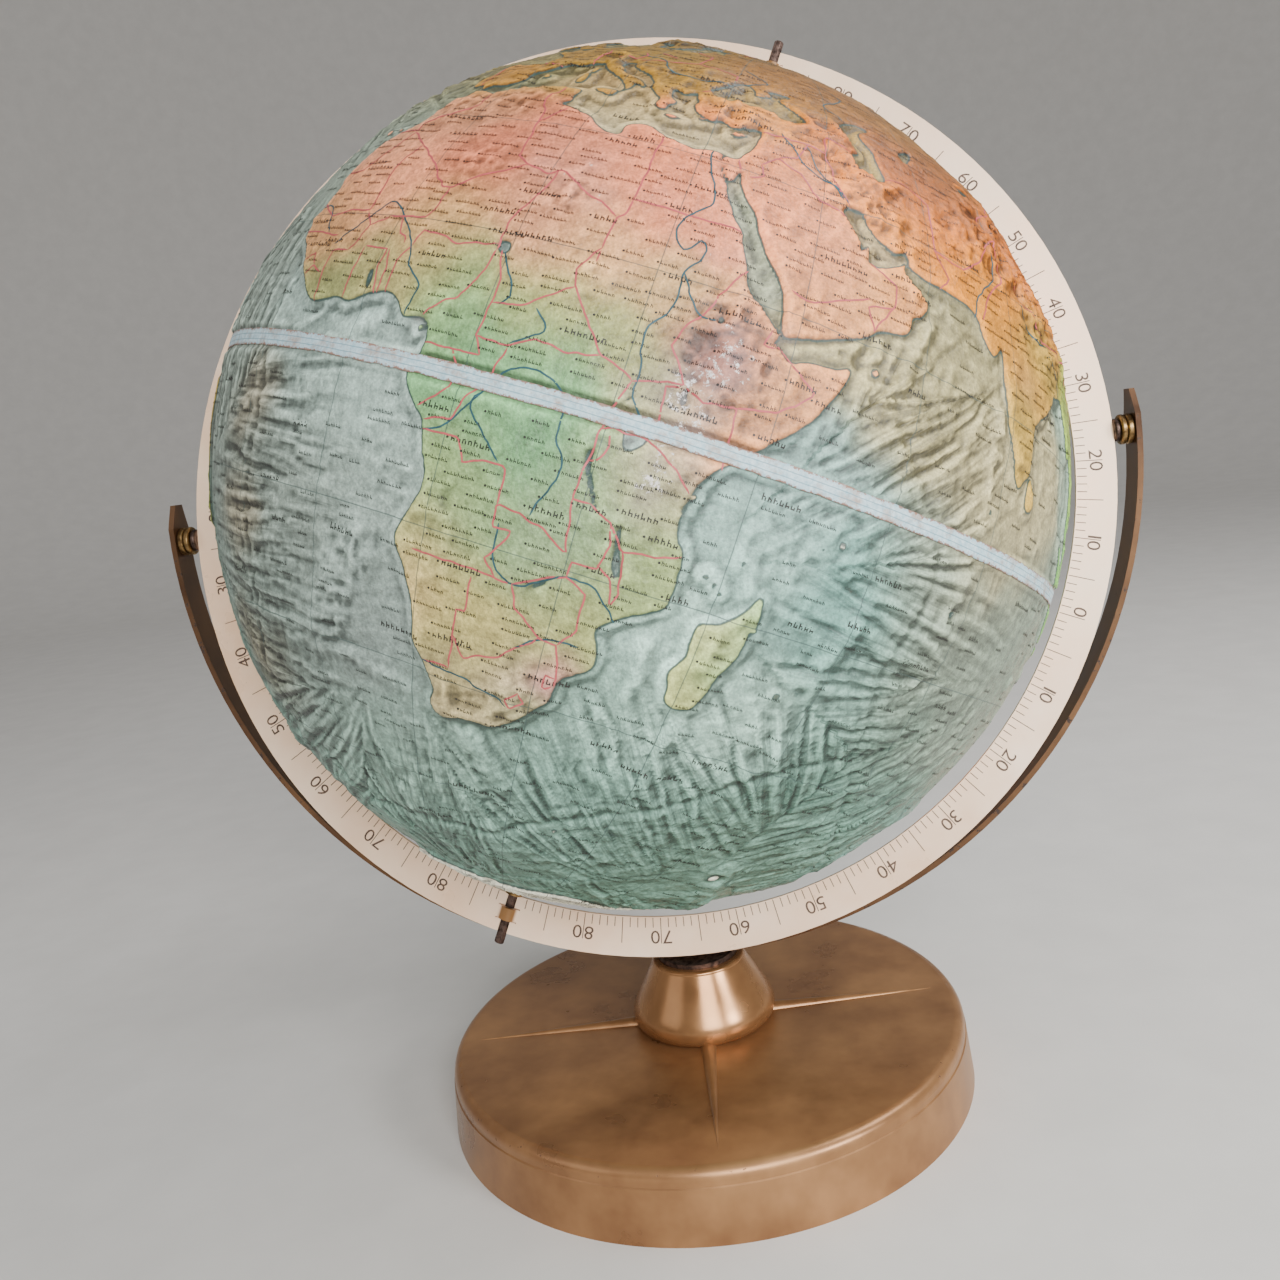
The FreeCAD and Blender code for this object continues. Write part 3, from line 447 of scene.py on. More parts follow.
# Small round islands: latitude, longitude and radius in degrees
ISLETS = """-21.1 55.5 .4,-20.3 57.6 .35,-11.6 43.3 .3,-12.2 44.4 .25,-12.8 45.2 .25,-4.7 55.5 .3,
    -5.7 53.7 .2,-9.4 46.4 .25,12.5 54 .5,-6.2 39.3 .3,-4.9 39.7 .25,28.3 -16.6 .45,28.4 -14 .4,
    27.9 -15.5 .3,15.1 -23.6 .35,16.6 -24.3 .3,3.5 8.7 .35,.3 6.6 .25,-15.9 -5.7 .2,-7.9 -14.4 .2,
    4.2 73.5 .2,.6 73 .2,-7.3 72.4 .25,-49.3 69.5 .7,-46.9 37.8 .25,-38.7 77.5 .2,10.2 -61.3 .4,14.6 -61 .3,
    18.2 -66.4 .5,39.6 3 .4,36.3 28.1 .3,19.6 -155.5 .6,21 -157 .4,-17.7 178 .6,-13.7 -172.2 .4,
    -17.6 -149.5 .3,71 -8.5 .3,37.8 -25.5 .3,32.7 -17 .25,-54.3 -36.7 .6,24.6 -78 .5,26.5 -77.5 .4,
    -12 96.8 .2,-10.5 105.6 .2"""
# Lines of corners, parted by semicolons
BORDERS = """35 -2.2,32 -1.2,30 -4.5,28.7 -8.7,27.5 -8.7;27.7 -8.7,27.6 -12.9;27.3 -8.7,21.3 -13,20.9 -17;
    25 -4.8,21.5 -6.4,15.5 -5.5,15.2 -9.3,14.7 -12.2,16.5 -16.3;25 -4.8,27.3 -8.7;25 -4.8,21 1.2,19 3.3,
    19.2 4.3,23.5 11.9;37 8.6,34 7.6,33 8,32 9,30.2 9.4,26.5 9.9,24.5 10.2,23.5 11.9,22.9 14.8,23.4 15.9,
    19.5 24;30.2 9.4,33.1 11.5;31.6 25,29 25,22 25;22 25,22 31,22 36.9;22 25,20 25,19.5 24,15.7 24;15.7 24,
    12.8 22.3,11 22.9,9 24.5,5.2 27.4,4.2 30.5,3.7 31;23.4 15.9,20.5 15.5,16.5 13.5,13.7 13.5,13.1 13.6;
    19.2 4.3,16.5 4.2,15.2 3.5,15 .2,14.9 -1.5;13.7 13.5,13.2 11,12.8 9,13.5 7,13.7 4.2,11.8 3.6;15 .2,13 1,
    12.6 2.2,11.9 2.4;15.2 -5.5,13.6 -4,11 -5,10.4 -5.5;14.9 -1.5,13.6 -4;11 -2.9,9.6 -2.8,7 -3.2,5.1 -3;
    11.1 -2.8,11.1 .6,9 .4,6.1 1.2;11 .9,9 1.6,6.2 1.6;11.8 3.6,10 2.8,6.4 2.7;10.4 -5.5,10.3 -8,8 -8.2,
    5.5 -7.5,4.4 -7.6;12.2 -8.8,12.4 -11.4,12.5 -13.7,12.7 -16.7;7.6 -8.5,8.5 -10.3,7 -11.4;8.5 -10.3,
    10 -11.2,9 -13.2;13.1 13.6,10 13.2,7 11.8,6.6 10.5,4.8 8.6;13.1 14.1,10 15.4,7.5 15.5,4 15.1,2.2 16.1;
    7.5 15.5,8 18.5,11 22.9;4 15.1,3.6 18.6,5 21,4.7 24.5,5.2 27.4;2.2 16.1,2.2 13.2,2.2 9.8;2.2 13.2,.5 14,
    -1.5 14,-2.5 13,-3.9 11.2;3.6 18.6,0 17.6,-2 16,-4.3 15.2,-5 12.3;3.7 31,1 30,-1.5 29.6,-4.5 29.3,
    -8.3 28.9,-8.3 30.7;-1.4 30.5,-2.4 30.8,-4.4 30,-4.5 29.3;-1.4 29.6,-1 30.5,-1 34,-3 37.6,-4.7 39.2;
    -1 34,1 34.5,4.2 34,4.6 36,4.6 34.2,3.7 31;4.6 36,3.6 38,4.2 41,-1.7 41.5;4.2 41,5 45,8 48,8.9 47,
    11.5 43;15.4 24,14 24;18 38.6,14.5 36.5,12.5 36,9.5 34,8 33.5,4.6 35.9;12.7 42.4,11 42,11 43.2;
    -8.3 30.7,-9.5 33,-11.5 33.5,-14 33,-14 30.4,-15.6 30.4;-9.5 33,-11.6 34.8,-11.4 38,-10.5 40.4;
    -13.6 32.9,-14.5 34.5,-17 35.2,-15.8 35.8,-11.6 34.8;-8.3 28.9,-12.4 29.4,-13.4 29.7,-12 27,-11 24.4,
    -10.9 22,-13 22,-13 24,-16.2 22,-17.7 23.4;-10.9 22,-7.3 21.8,-7.3 19.5,-8 17.5,-5.9 16.5,-5.9 12.4;
    -17.4 14,-17.4 18.4,-17.7 23.4,-17.8 25.3;-17.8 25.3,-16 28.8,-15.6 30.4,-16.6 32.7,-20.5 32.8,
    -22.4 31.3;-18.3 21,-22 21,-22 20,-28.4 20;-24.8 20,-26.8 21.5,-25.5 25.5,-22.2 29.3;-17.8 25.3,-20 26,
    -22.2 29.3,-22.4 31.3,-25.5 32,-26.8 32.1;-28.5 20,-28.6 16.5;-26.8 32.1,-27.3 31,-25.9 31,-25.9 32;
    -28.6 28.5,-29.6 29.4,-30.6 28,-29.7 27.1,-28.6 28.5;29.5 34.9,31.3 34.3;31.5 37,33.3 38.8,32 42,
    29.2 44.7,29.1 46.4,28.5 48.4;29.2 36,30 37.8,31.5 37;33.3 38.8,34.4 41,37.2 42.3;36.8 36.2,36.8 40,
    37.2 42.3,37.2 44.8;37.2 44.8,35 46,33 46,31 47.8,30 48.5;17.4 43.3,17 46,19 50,20 52;16.6 53,20 55,
    22.7 55.2,24.2 51.6;20 55,19 52,16.6 53;37.2 44.8,39.5 44.5,38.5 48.8;37.3 54,38 57,36.6 61,32 60.8,
    29.9 61,27 63,25.3 61.6;29.9 61,29.4 66,32 69.3,35 71.5,37 74.5;24.3 68.8,28 70.5,31 74,34.5 74,37 74.5;
    41.3 26.4,42 28;49 23,48 30,46.3 30;54.4 19.8,53 23.6,49 23,47.5 18,47 16,46.5 13.7;42.4 3.2,43.3 -1.7;
    49.5 6,47.6 7.6,46 7,43.8 7.5;50 12.5,48.8 13.8,47 13,47 9.6;50.8 15,49.5 18.8;37.2 -7.4,39.6 -7,
    42 -8.2;69 29,65 30,61 28,60.5 27.8;49 87.5,44 80,41 74,37 74.5;49.5 88,50 98,50 107,49.8 117,53 121,
    48.5 135,43 131.2;35.5 78,31 79,28 84,27.5 88.5,28.5 97,24 98,21.5 101,22.5 106,21.6 108;49 -95,49 -123;
    49 -95,47.5 -89,45 -75,47.3 -69,45 -67;32.5 -117.1,31.3 -111,31.8 -106.5,29 -103,26 -97.4;60 -141,
    69.6 -141;1.5 -78.8,-4.2 -70,-10 -73,-11 -69,-16 -60,-22 -58,-27 -54,-30 -57.6,-33.5 -53.5;-17.5 -69.5,
    -22.8 -67,-30 -70,-40 -71.5,-52 -72;1.5 -70,4.5 -61,2 -56,4 -51.8"""
RIVERS = """31.5 31.2,30 31.2,26 32.6,24 32.9,22 31.2,19.6 30.4,18 31.8,19.5 33.3,17.5 33.9,15.6 32.5,
    12 32.8,9.5 31,7 31,4.8 31.6,2.5 31.5,.4 33.1;15.6 32.5,12 35,11.6 37.2;-6 12.4,-4.5 15.2,-1 17.5,
    1.5 19.5,2.2 22.5,.5 25.2,-3 25.9,-6 27,-9.5 25.8,-11 25.4;4.4 6.3,7.5 6.7,9.5 4.5,12 3.3,15 .5,
    16.8 -2.5,14.5 -4.8,11 -8.5;-18.6 36.2,-16 33.5,-15.6 30.4,-17.9 25.9,-16.5 23.2,-12.5 22.6;-28.6 16.5,
    -28.8 20,-29.6 24,-30.4 27.5;-22 33.5,-22.3 30,-24 27;-1 17.5,-3 17,-7 21;4 18.6,6 21.5,8 20;13 14.5,
    9 17,7.5 16.2;16 -16.4,16 -14,12.5 -11;30.2 48.3,32 46,34 42,37.5 38.5;30.5 47.5,33.5 44.5,37 42;
    24.2 67.5,27.5 68.5,31 72.5,34.5 72.5;22 89.8,25.5 87,27 81,30 78;45 29.6,44 24,45 20,48 17,48.5 12;
    46.5 31.5,48.5 35,51 30.5;46 48,48.5 45,53 49,56 45;66.5 70,61 69,58 82,52 84;71 83,66 87,58 92,52 93;
    72.5 127,66 124,61 118,55 108;31.5 121.5,30 114,30 107,28 104,33 97;37.7 118.5,35 110,40 108,36 101;
    10 106,15 105,20 101,28 98.5;-1 -49,-2.5 -55,-3 -62,-4 -70,-5 -75;29.3 -89.5,35 -90,40 -91.5,47 -94;
    38.8 -90.2,41 -96,47 -102,47 -110;69 -135,62 -123,61 -116;-34.5 -58.5,-27 -56,-20 -51;8.6 -61,7.5 -65,
    3 -66;-35.5 139,-34 142,-36 147"""
# Mid-ocean ridges; the rest are banks: their two ends, then height and width in mm
RIDGES = {
    "carlsberg": "13 50,12 56,9 58,4 62.5,-2 67.5,-8 68,-15 67,-21 69,-25.5 70",
    "southwest": "-25.5 70,-31 59,-36.5 53,-42 43,-47 34,-51.5 27,-53 12,-54.5 0",
    "southeast": "-25.5 70,-34 78,-42 88,-48 100,-50 120,-50 140,-58 160,-63 175",
    "atlantic": """66 -18,60 -28,53 -35,47 -28,40 -29.5,34 -37,27 -44,20 -46,13 -45,8 -38,2 -31,0 -24,
        -1 -15,-8 -13.3,-16 -14,-24 -13.5,-32 -14,-40 -16,-48 -10,-54.5 0""",
    "pacific": "-63 175,-62 -160,-57 -140,-50 -118,-35 -110,-20 -113.5,-5 -107,5 -103,15 -104.5,21 -108",
    "arctic": "66 -18,73 8,80 0,84 30,86 90",
}
SWELLS = """-19 6 -30 0,.9 7;-33 14 -30 0,.5 3;-12 -22 4 3,.6 3;-28 46 -36 46,.8 4;-10 61 -20 58,.9 3;
    15 73 -9 72,.8 3;30 90 -30 90,.7 3;-32 57 -26 60,.5 3;-34 95 -32 110,.7 4;-48 70 -60 82,1.1 6;
    -4 55 -6 57,.7 5;-12 48 -9 46,.4 3;-36 23 -42 28,.8 4;-20 40 -26 40,.5 2;20 60 10 56,.7 2;40 -60 34 -58,
    .4 5;22 -158 50 170,.6 3;-30 174 -15 -174,.6 3;10 152 25 142,.6 3;5 -87 0 -82,.6 3;-50 -44 -52 -30,
    .7 4"""
# Mountains: latitude, longitude, size in degrees and height
PEAKS = """9 38.5 5 1,13 38 3 .9,7 37 3 .8,6 42 4 .5,0 37 2 .9,-3.2 37.2 1.6 1,.5 29.8 1.6 1,-3 29.2 1.6 .7,
    -10 34.5 2.5 .5,-29.3 29 2.6 .9,-32 25.5 4 .5,-32.5 20 2.5 .7,-24.5 30.2 2 .5,-20 15.5 2.5 .4,
    -13 15.2 3 .5,32 -5.5 3 1,34 2 3.5 .5,35 6.5 2 .5,23.3 5.7 3 .8,20.5 17.5 2.6 .9,13 24.2 2 .6,
    5 10.5 2.2 .7,9 -12 2.5 .3,-19 47 2.2 .6,-14.5 49 1.4 .5,15.5 44.3 2 .9,19.5 42 2 .7,24 39 2.5 .4,
    23.3 57.3 1.6 .6,33 49 4 .9,37.5 45.5 3.5 .9,29.5 53.5 3.5 .8,36.2 53 3 .9,35 68 4 1,37.5 73 4 1.2,
    33 80 5 1.2,31 88 6 1.1,29.5 96 4 1,28 86 4 1.2,42 78 5 .9,39.5 32 4 .5,37.5 34 4 .6,42.5 44.5 3 .9,
    46.5 10 2.6 1,42.7 1 2 .8,40.5 -4 3.5 .4,43 13 2 .5,43.5 20 3 .6,46 25 2.2 .5,63 12 4 .6,61 8 3 .6,
    60 59 2 .5,66 61 2 .5,50 90 5 .8,53 110 7 .5,63 140 9 .6,57 160 2 .7,48 97 5 .5,27 103 4 .7,
    11.5 76.8 2 .6,18 74 2 .4,7 80.8 .8 .5,36 138 2 .6,-4 138 3 .8,-7 145 3 .8,-30 151 3 .4,
    -36.5 148 2.5 .6,-43.5 170.5 1.6 1,1 114 3 .5,0 100 1.8 .6,40 -107 6 .9,48 -115 5 .8,60 -140 4 1,
    63 -150 3.5 .9,37 -119 3 .8,56 -127 5 .7,38 -80 4 .4,22 -103 6 .6,16 -92 2.5 .5,72 -35 12 .8,
    -1 -78 2.2 .9,6 -75 2.5 .7,-9 -76 3 1.1,-15 -71 3.6 1.2,-21 -67 4 1.2,-29 -69.5 3 1.1,-36 -70.5 2.2 .8,
    -45 -72.5 2 .6,-15 -47 7 .3,-20 -44 4 .4,5 -62 3 .4,-80 0 20 .8,-78 -100 12 .6,-84 -160 6 .9,
    -75 160 4 .9"""
# Printed colours: latitude, longitude, size in degrees and colour
LAND_TINTS = """30 31 8 d99a80,24 27 7 e0a088,27 15 7 d39b86,24 5 7 c18672,21 -6 8 f4b89c,31 0 5 c9a088,
    28 -10 5 cfa58c,19 17 6 d3a48c,22 33 5 dda28a,15 22 6 dcb895,15 5 6 d4b28c,15 -10 6 c9a683,
    14 32 5 cbb08c,12 41 4 d9a585,9 38.5 5 86665f,10 0 5 aea983,10 9 5 a3ac84,9 20 5 a9b084,7 30 4 a9ac84,
    4 22 5 8faa84,5 12 4 96b088,6 -6 5 a0a27c,0 16 6 86a884,-2 24 6 82a482,-4 20 5 88a985,2 33 4 a9a78c,
    0 38 4 bfa892,6 44 5 d2a483,2 44 4 cfa080,9 48 4 d8a684,-5 34 5 a9ab8c,-9 29 5 97aa8a,-8 17 5 9cab84,
    -13 20 5 98ab88,-14 28 5 98a88a,-17 16 5 b6b38c,-21 15 4 d6c29a,-22 20 5 b9b186,-25 22 5 beb58c,
    -18 30 4 a6ab84,-23 29 4 b0ad86,-27 27 4 b5a994,-26 31 3 c79c9a,-30 29 3 a8a488,-31 21 5 aba184,
    -33 20 4 a59c84,-15 37 5 9fab84,-21 34 4 a9ad84,-17 46 4 b4ba92,-22 45 4 b3b78c,-14 49 3 a6ba92,
    -20 48 3 a8bd94,20 46 6 dca686,25 44 6 dfa284,18 52 5 dcab85,30 40 5 dc9d80,15 46 4 d6a47e,
    23 56 4 d9a57c,33 44 4 efae88,31 36 4 d8a080,33 53 6 cf9468,29 57 6 d3975f,33 62 6 cc8a54,
    30 68 6 d39a5c,39 35 5 dcae78,37 45 5 bf8c60,40 62 7 ac7848,45 66 8 8d6f48,38 70 6 9f6d42,
    45 78 8 b3854e,24 72 5 c0925e,21 78 6 bb9a66,14 77 5 b09a68,26 84 5 a89a66,31 85 7 b07f52,
    38 85 8 a9744a,42 95 9 c79058,44 108 9 b98c58,55 40 9 937a4c,48 33 7 a89060,50 15 7 9d9464,
    44 4 6 a39664,40 -4 5 b59a68,42 14 5 a89564,45 24 6 a29462,60 15 8 857c50,62 28 8 857a4c,55 60 9 9e8450,
    62 75 11 8e8456,62 100 12 88805a,62 130 12 84805c,68 60 7 8f8a62,70 110 9 8e8a6a,55 90 9 987e4c,
    34 110 6 9f9a5c,28 112 6 93a264,25 102 5 98a068,45 126 6 95965c,16 102 6 8fa868,22 96 5 94a468,
    3 102 5 7fa46c,0 114 6 7fa46c,-2 101 5 80a46c,-5 140 7 7fa06c,36 138 5 93a068,12 122 5 8aa66c,
    -25 134 9 d09a62,-20 125 6 cf9c66,-30 122 6 cfa46c,-15 143 6 a8a468,-33 147 6 a3a468,-43 171 5 8fa070,
    40 -100 7 c0a468,33 -108 6 cf9c66,45 -115 6 b79a64,37 -85 7 95a068,48 -80 9 8d9a68,60 -110 11 8c9468,
    62 -150 8 979468,55 -125 7 8c9464,24 -104 6 cf9f6c,16 -92 5 92a468,72 -40 12 d8d8c8,70 -95 10 a0a080,
    0 -60 8 7fa468,-5 -70 7 7da268,5 -72 5 8da468,-10 -50 7 93a468,-20 -48 6 9aa468,-7 -39 5 b4a46c,
    -20 -62 6 aaa468,-32 -63 6 b0a468,-42 -68 6 c0a070,-25 -69 5 c89c6c,-50 -71 4 98a070,-80 0 30 dcdcd0,
    -80 120 30 dcdcd0,-80 -120 30 dcdcd0,-15 -75 5 c29a6c"""
SEA_TINTS = """-20 -15 5 98907f,-36 -15 6 8a8474,-6 -14 5 a39c8c,0 0 14 b6c5be,-15 -5 12 9aa29b,
    -30 -5 14 8f9a94,-30 8 9 9fa8a4,-20 5 7 a8b4ae,-42 15 12 9aada3,-50 35 12 8da49a,-40 45 10 88a096,
    -30 40 7 9fb4aa,-18 41 5 b8cec4,-25 52 8 a6bab0,-10 48 7 a4bab2,-10 58 8 78968f,0 52 7 93a8a2,
    -20 62 8 8aa097,-5 68 8 8f998e,12 62 8 a19b80,3 75 9 b4ad92,-15 80 12 8b9488,-30 72 12 6b8278,
    -45 65 14 7a9085,-60 40 20 7f988d,14 52 6 b0a88a,20 38 4 a8ab98,36 18 7 c3bba2,35 28 5 bdb59e,
    43 34 4 b0ab90,42 51 4 aaa384,27 51 3 b5a688,70 30 14 8d9278,55 -20 14 a0a692,30 -30 16 a4ada0,
    10 -30 14 a8b2aa,57 19 5 9ca088,20 120 14 98a598,0 150 20 9caea6,30 170 24 98aaa2,-30 170 24 90a49c,
    -20 -120 30 96aaa2,30 -140 28 98aaa2,-55 -60 20 7c948a,-60 150 24 78908a,75 180 30 94a096,
    75 -60 14 98a094"""
# Rubbed places: latitude, longitude, size in degrees and strength
SCUFFS = """8 39.5 2.6 1,6.5 38 2 1,3 36.5 2.4 1,1.5 38 2 .9,-2 35.5 2.6 .9,-4.5 36 2 .8,-6.5 35.5 1.6 .8,
    11 38.5 2 .7,5 35 2 .8,24 13.5 1.6 .8,22.5 17 1.8 .7,25.5 19 1.6 .6,21.5 21.5 1.8 .7,23 27 1.6 .5,
    18 34.5 1.3 .5,19 37.5 1 .6,4 8.3 1 .7,-13 35.3 .8 .5,29 12 1.4 .4,-26.5 30.5 1.2 .5,35.5 38 1.6 .6,
    33 44 1.4 .5,12 44 1.4 .6,48 30 3 .4,60 60 5 .3,20 78 3 .4,-32 -60 5 .4,10 120 6 .4,45 -90 6 .4"""


def pairs(text: str) -> np.ndarray:
    """Rows of numbers from text whose rows are parted by commas."""
    return np.array([[float(word) for word in row.split()] for row in text.split(",")])


# Where the globe is -----------------------------------------------------------------------------


@dataclass
class GlobeFrame:
    """The globe's centre and axes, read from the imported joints.

    Map directions use x towards latitude 0, longitude 0; y towards longitude 90 east; z north.
    """

    centre: np.ndarray
    pole: np.ndarray
    radius: float
    facing_longitude: float = 27.1
    face: np.ndarray = field(init=False)
    east: np.ndarray = field(init=False)
    basis: np.ndarray = field(init=False)

    def __post_init__(self) -> None:
        """Work out the ring's front, its east side and the map's basis."""
        swing_axis = np.array([1.0, 0.0, 0.0])
        face = np.cross(swing_axis, self.pole)
        self.face = face / np.linalg.norm(face)
        self.east = np.cross(self.pole, self.face)
        turn = math.radians(self.facing_longitude)
        prime = math.cos(turn) * self.face - math.sin(turn) * self.east
        ninety = math.sin(turn) * self.face + math.cos(turn) * self.east
        self.basis = np.stack([prime, ninety, self.pole])

    def place(self, directions: np.ndarray, radius: np.ndarray | float) -> np.ndarray:
        """Centre plus radius times the direction, turned from map axes to the frame's."""
        return self.centre + (directions @ self.basis) * np.reshape(radius, (-1, 1))

    def ring_place(self, angle: np.ndarray, radius: np.ndarray, forward: float) -> np.ndarray:
        """Place on the ring's face: angle in radians from east towards north, radius, and height."""
        flat = np.cos(angle)[:, None] * self.east + np.sin(angle)[:, None] * self.pole
        return self.centre + flat * radius[:, None] + self.face * forward


def directions(latitude: np.ndarray, longitude: np.ndarray) -> np.ndarray:
    """Unit vectors: (cos lat cos lon, cos lat sin lon, sin lat)."""
    lat, lon = np.radians(latitude), np.radians(longitude)
    return np.stack([np.cos(lat) * np.cos(lon), np.cos(lat) * np.sin(lon), np.sin(lat)], axis=-1)


def rounded(corners: np.ndarray, parts: int, closed: bool) -> np.ndarray:
    """Catmull-Rom curve through given corners.

    Each span is the cubic that passes its two corners with the slopes of their neighbours' chords.

    Args:
        corners: one row of latitude and longitude for each corner.
        parts: points made for each span.
        closed: True joins the last corner to the first.

    Returns:
        Rows of latitude and longitude along the curve.
    """
    if closed:
        ring = np.vstack([corners[-1:], corners, corners[:2]])
    else:
        ring = np.vstack([corners[:1], corners, corners[-1:]])
    t = (np.arange(parts) / parts)[None, :, None]
    a, b, c, d = (ring[shift:len(ring) - 3 + shift][:, None, :] for shift in range(4))
    curve = 0.5 * (2 * b + (c - a) * t + (2 * a - 5 * b + 4 * c - d) * t ** 2 + (3 * b - a - 3 * c + d) * t ** 3)
    curve = curve.reshape(-1, 2)
    return curve if closed else np.vstack([curve, corners[-1:]])


@dataclass
class MapGrid:
    """Fields of the map on an even grid of latitude and longitude that the skin's vertices share."""

    frame: GlobeFrame
    rows: int = 449
    columns: int = 881
    coast_reach_mm: float = 9.0
    coast_wobble_mm: float = 0.75
    vivid: float = 1.42
    north_warm_tint: str = "#f0cb98"
    warm_tint_centre: tuple[float, float] = (52.0, 45.0)
    depth: float = 1.18
    ridge_reach_mm: float = 70.0
    fracture_mm: float = 2.8
    fracture_run_mm: float = 34.0
    fault_mm: float = 2.6
    fault_run_mm: float = 11.0
    flank_mm: float = 38.0
    rift_mm: float = 1.5
    crest_mm: float = 15.0
    relief_limits_mm: tuple[float, float] = (-1.3, 3.0)
    tape_clear: tuple[float, float] = (1.0, 1.6)
    cap_clear: tuple[float, float] = (2.7, 5.0)
    latitude: np.ndarray = field(init=False)
    longitude: np.ndarray = field(init=False)
    unit: np.ndarray = field(init=False)
    radius_mm: float = field(init=False)
    coast: np.ndarray = field(init=False)
    height: np.ndarray = field(init=False)
    ridge_along: np.ndarray = field(init=False)
    ridge_away: np.ndarray = field(init=False)

    def __post_init__(self) -> None:
        """Fill the fields in order: coast distance, then heights."""
        self.radius_mm = self.frame.radius / MM
        self.latitude = np.linspace(-90, 90, self.rows)
        start = self.frame.facing_longitude - 90
        self.longitude = start + np.linspace(0, 360, self.columns)
        lat, lon = np.meshgrid(self.latitude, self.longitude, indexing="ij")
        self.unit = directions(lat, lon)
        self.coast = self.coast_distance()
        self.ridge_along, self.ridge_away = self.ridge_places()
        self.height = self.heights()

    def noise(self, size_mm: float, octaves: int, seed: int, ridged: bool = False) -> np.ndarray:
        """Fractal noise over the grid whose coarsest bumps are size_mm across."""
        points = self.unit.reshape(-1, 3) * (self.radius_mm / size_mm)
        return fractal(points, octaves, seed, ridged).reshape(self.rows, self.columns)

    def windows(self, start: np.ndarray, end: np.ndarray, reach_mm: float) -> list[tuple[slice, slice]]:
        """Blocks of the grid that lie within reach of a short line on the map.

        Args:
            start: latitude and longitude of one end.
            end: latitude and longitude of the other end.
            reach_mm: distance on the skin.

        Returns:
            One pair of slices for each copy of the line, a turn apart, that meets the grid.
        """
        pad = math.degrees(reach_mm / self.radius_mm)
        low, high = min(start[0], end[0]) - pad, max(start[0], end[0]) + pad
        first = max(int((low + 90) / 180 * (self.rows - 1)), 0)
        last = min(int((high + 90) / 180 * (self.rows - 1)) + 2, self.rows)
        narrow = max(math.cos(math.radians(min(max(abs(low), abs(high)), 89.5))), 0.02)
        west, east = min(start[1], end[1]) - pad / narrow, max(start[1], end[1]) + pad / narrow
        blocks = []
        for turn in (-360, 0, 360):
            left = int((west + turn - self.longitude[0]) / 360 * (self.columns - 1))
            right = int((east + turn - self.longitude[0]) / 360 * (self.columns - 1)) + 2
            left, right = max(left, 0), min(right, self.columns)
            if left < right and first < last:
                blocks.append((slice(first, last), slice(left, right)))
        return blocks

    def line_distance(self, window: tuple[slice, slice], start: np.ndarray,
                      end: np.ndarray) -> tuple[np.ndarray, np.ndarray]:
        """Distance from the grid's points to a straight chord between two places.

        Args:
            window: the block of the grid.
            start: latitude and longitude of one end.
            end: latitude and longitude of the other end.

        Returns:
            Distance to the chord and distance along it, both in mm.
        """
        a, b = directions(start[0], start[1]), directions(end[0], end[1])
        chord = b - a
        length = max(float(chord @ chord), 1e-12)
        away = self.unit[window] - a
        share = np.clip(away @ chord / length, 0, 1)
        gap = np.linalg.norm(away - share[..., None] * chord, axis=-1) * self.radius_mm
        return gap, share * math.sqrt(length) * self.radius_mm

    def coast_distance(self) -> np.ndarray:
        """Signed distance to the nearest coast in mm, above zero on land, clipped at its reach.

        A point is inside an outline if the parallel through it crosses the outline an odd number of
        times to its west. Outlines of lakes flip land back to water. Noise then roughens the line.

        Returns:
            A number for each grid point.
        """
        gap = np.full((self.rows, self.columns), self.coast_reach_mm)
        inside = np.zeros((self.rows, self.columns), bool)
        outlines = [rounded(pairs(text), 4, True) for text in [*LAND.values(), *WATER.values()]]
        angle = np.radians(np.arange(0, 360, 60))
        for lat, lon, size in pairs(ISLETS):
            bulge = size / math.cos(math.radians(lat))
            outlines.append(np.stack([lat + size * np.sin(angle), lon + bulge * np.cos(angle)], axis=1))
        for outline in outlines:
            for start, end in zip(outline, np.roll(outline, -1, axis=0)):
                self.cross_west(inside, start, end)
                if max(abs(start[0]), abs(end[0])) > 89 or abs(start[1] - end[1]) > 90:
                    continue
                for window in self.windows(start, end, self.coast_reach_mm):
                    near, _ = self.line_distance(window, start, end)
                    gap[window] = np.minimum(gap[window], near)
        signed = np.where(inside, gap, -gap)
        wobble = self.noise(5.0, 4, 11) * self.coast_wobble_mm
        return signed + wobble * (1 - smooth(np.abs(signed), 1.5, 5.0))

    def cross_west(self, inside: np.ndarray, start: np.ndarray, end: np.ndarray) -> None:
        """Flip every grid point whose parallel crosses an edge to its west.

        Args:
            inside: the grid's flags, changed in place.
            start: latitude and longitude of the edge's start.
            end: latitude and longitude of the edge's end.
        """
        if start[0] == end[0]:
            return
        low, high = (start, end) if start[0] < end[0] else (end, start)
        band = (self.latitude >= low[0]) & (self.latitude < high[0])
        if not band.any():
            return
        share = (self.latitude[band] - low[0]) / (high[0] - low[0])
        crossing = low[1] + share * (high[1] - low[1])
        for turn in (-360, 0, 360):
            inside[band] ^= self.longitude[None, :] > crossing[:, None] + turn

    def ridge_places(self) -> tuple[np.ndarray, np.ndarray]:
        """Lie of the nearest mid-ocean ridge.

        Returns:
            Distance along it and distance away from it in mm, out to ridge_reach_mm.
        """
        away = np.full((self.rows, self.columns), self.ridge_reach_mm)
        along = np.zeros((self.rows, self.columns))
        run = 0.0
        for text in RIDGES.values():
            line = rounded(pairs(text), 3, False)
            for start, end in zip(line, line[1:]):
                for window in self.windows(start, end, self.ridge_reach_mm):
                    gap, share = self.line_distance(window, start, end)
                    nearer = gap < away[window]
                    away[window] = np.where(nearer, gap, away[window])
                    along[window] = np.where(nearer, run + share, along[window])
                step = directions(*start) - directions(*end)
                run += float(np.linalg.norm(step)) * self.radius_mm
        return along, away

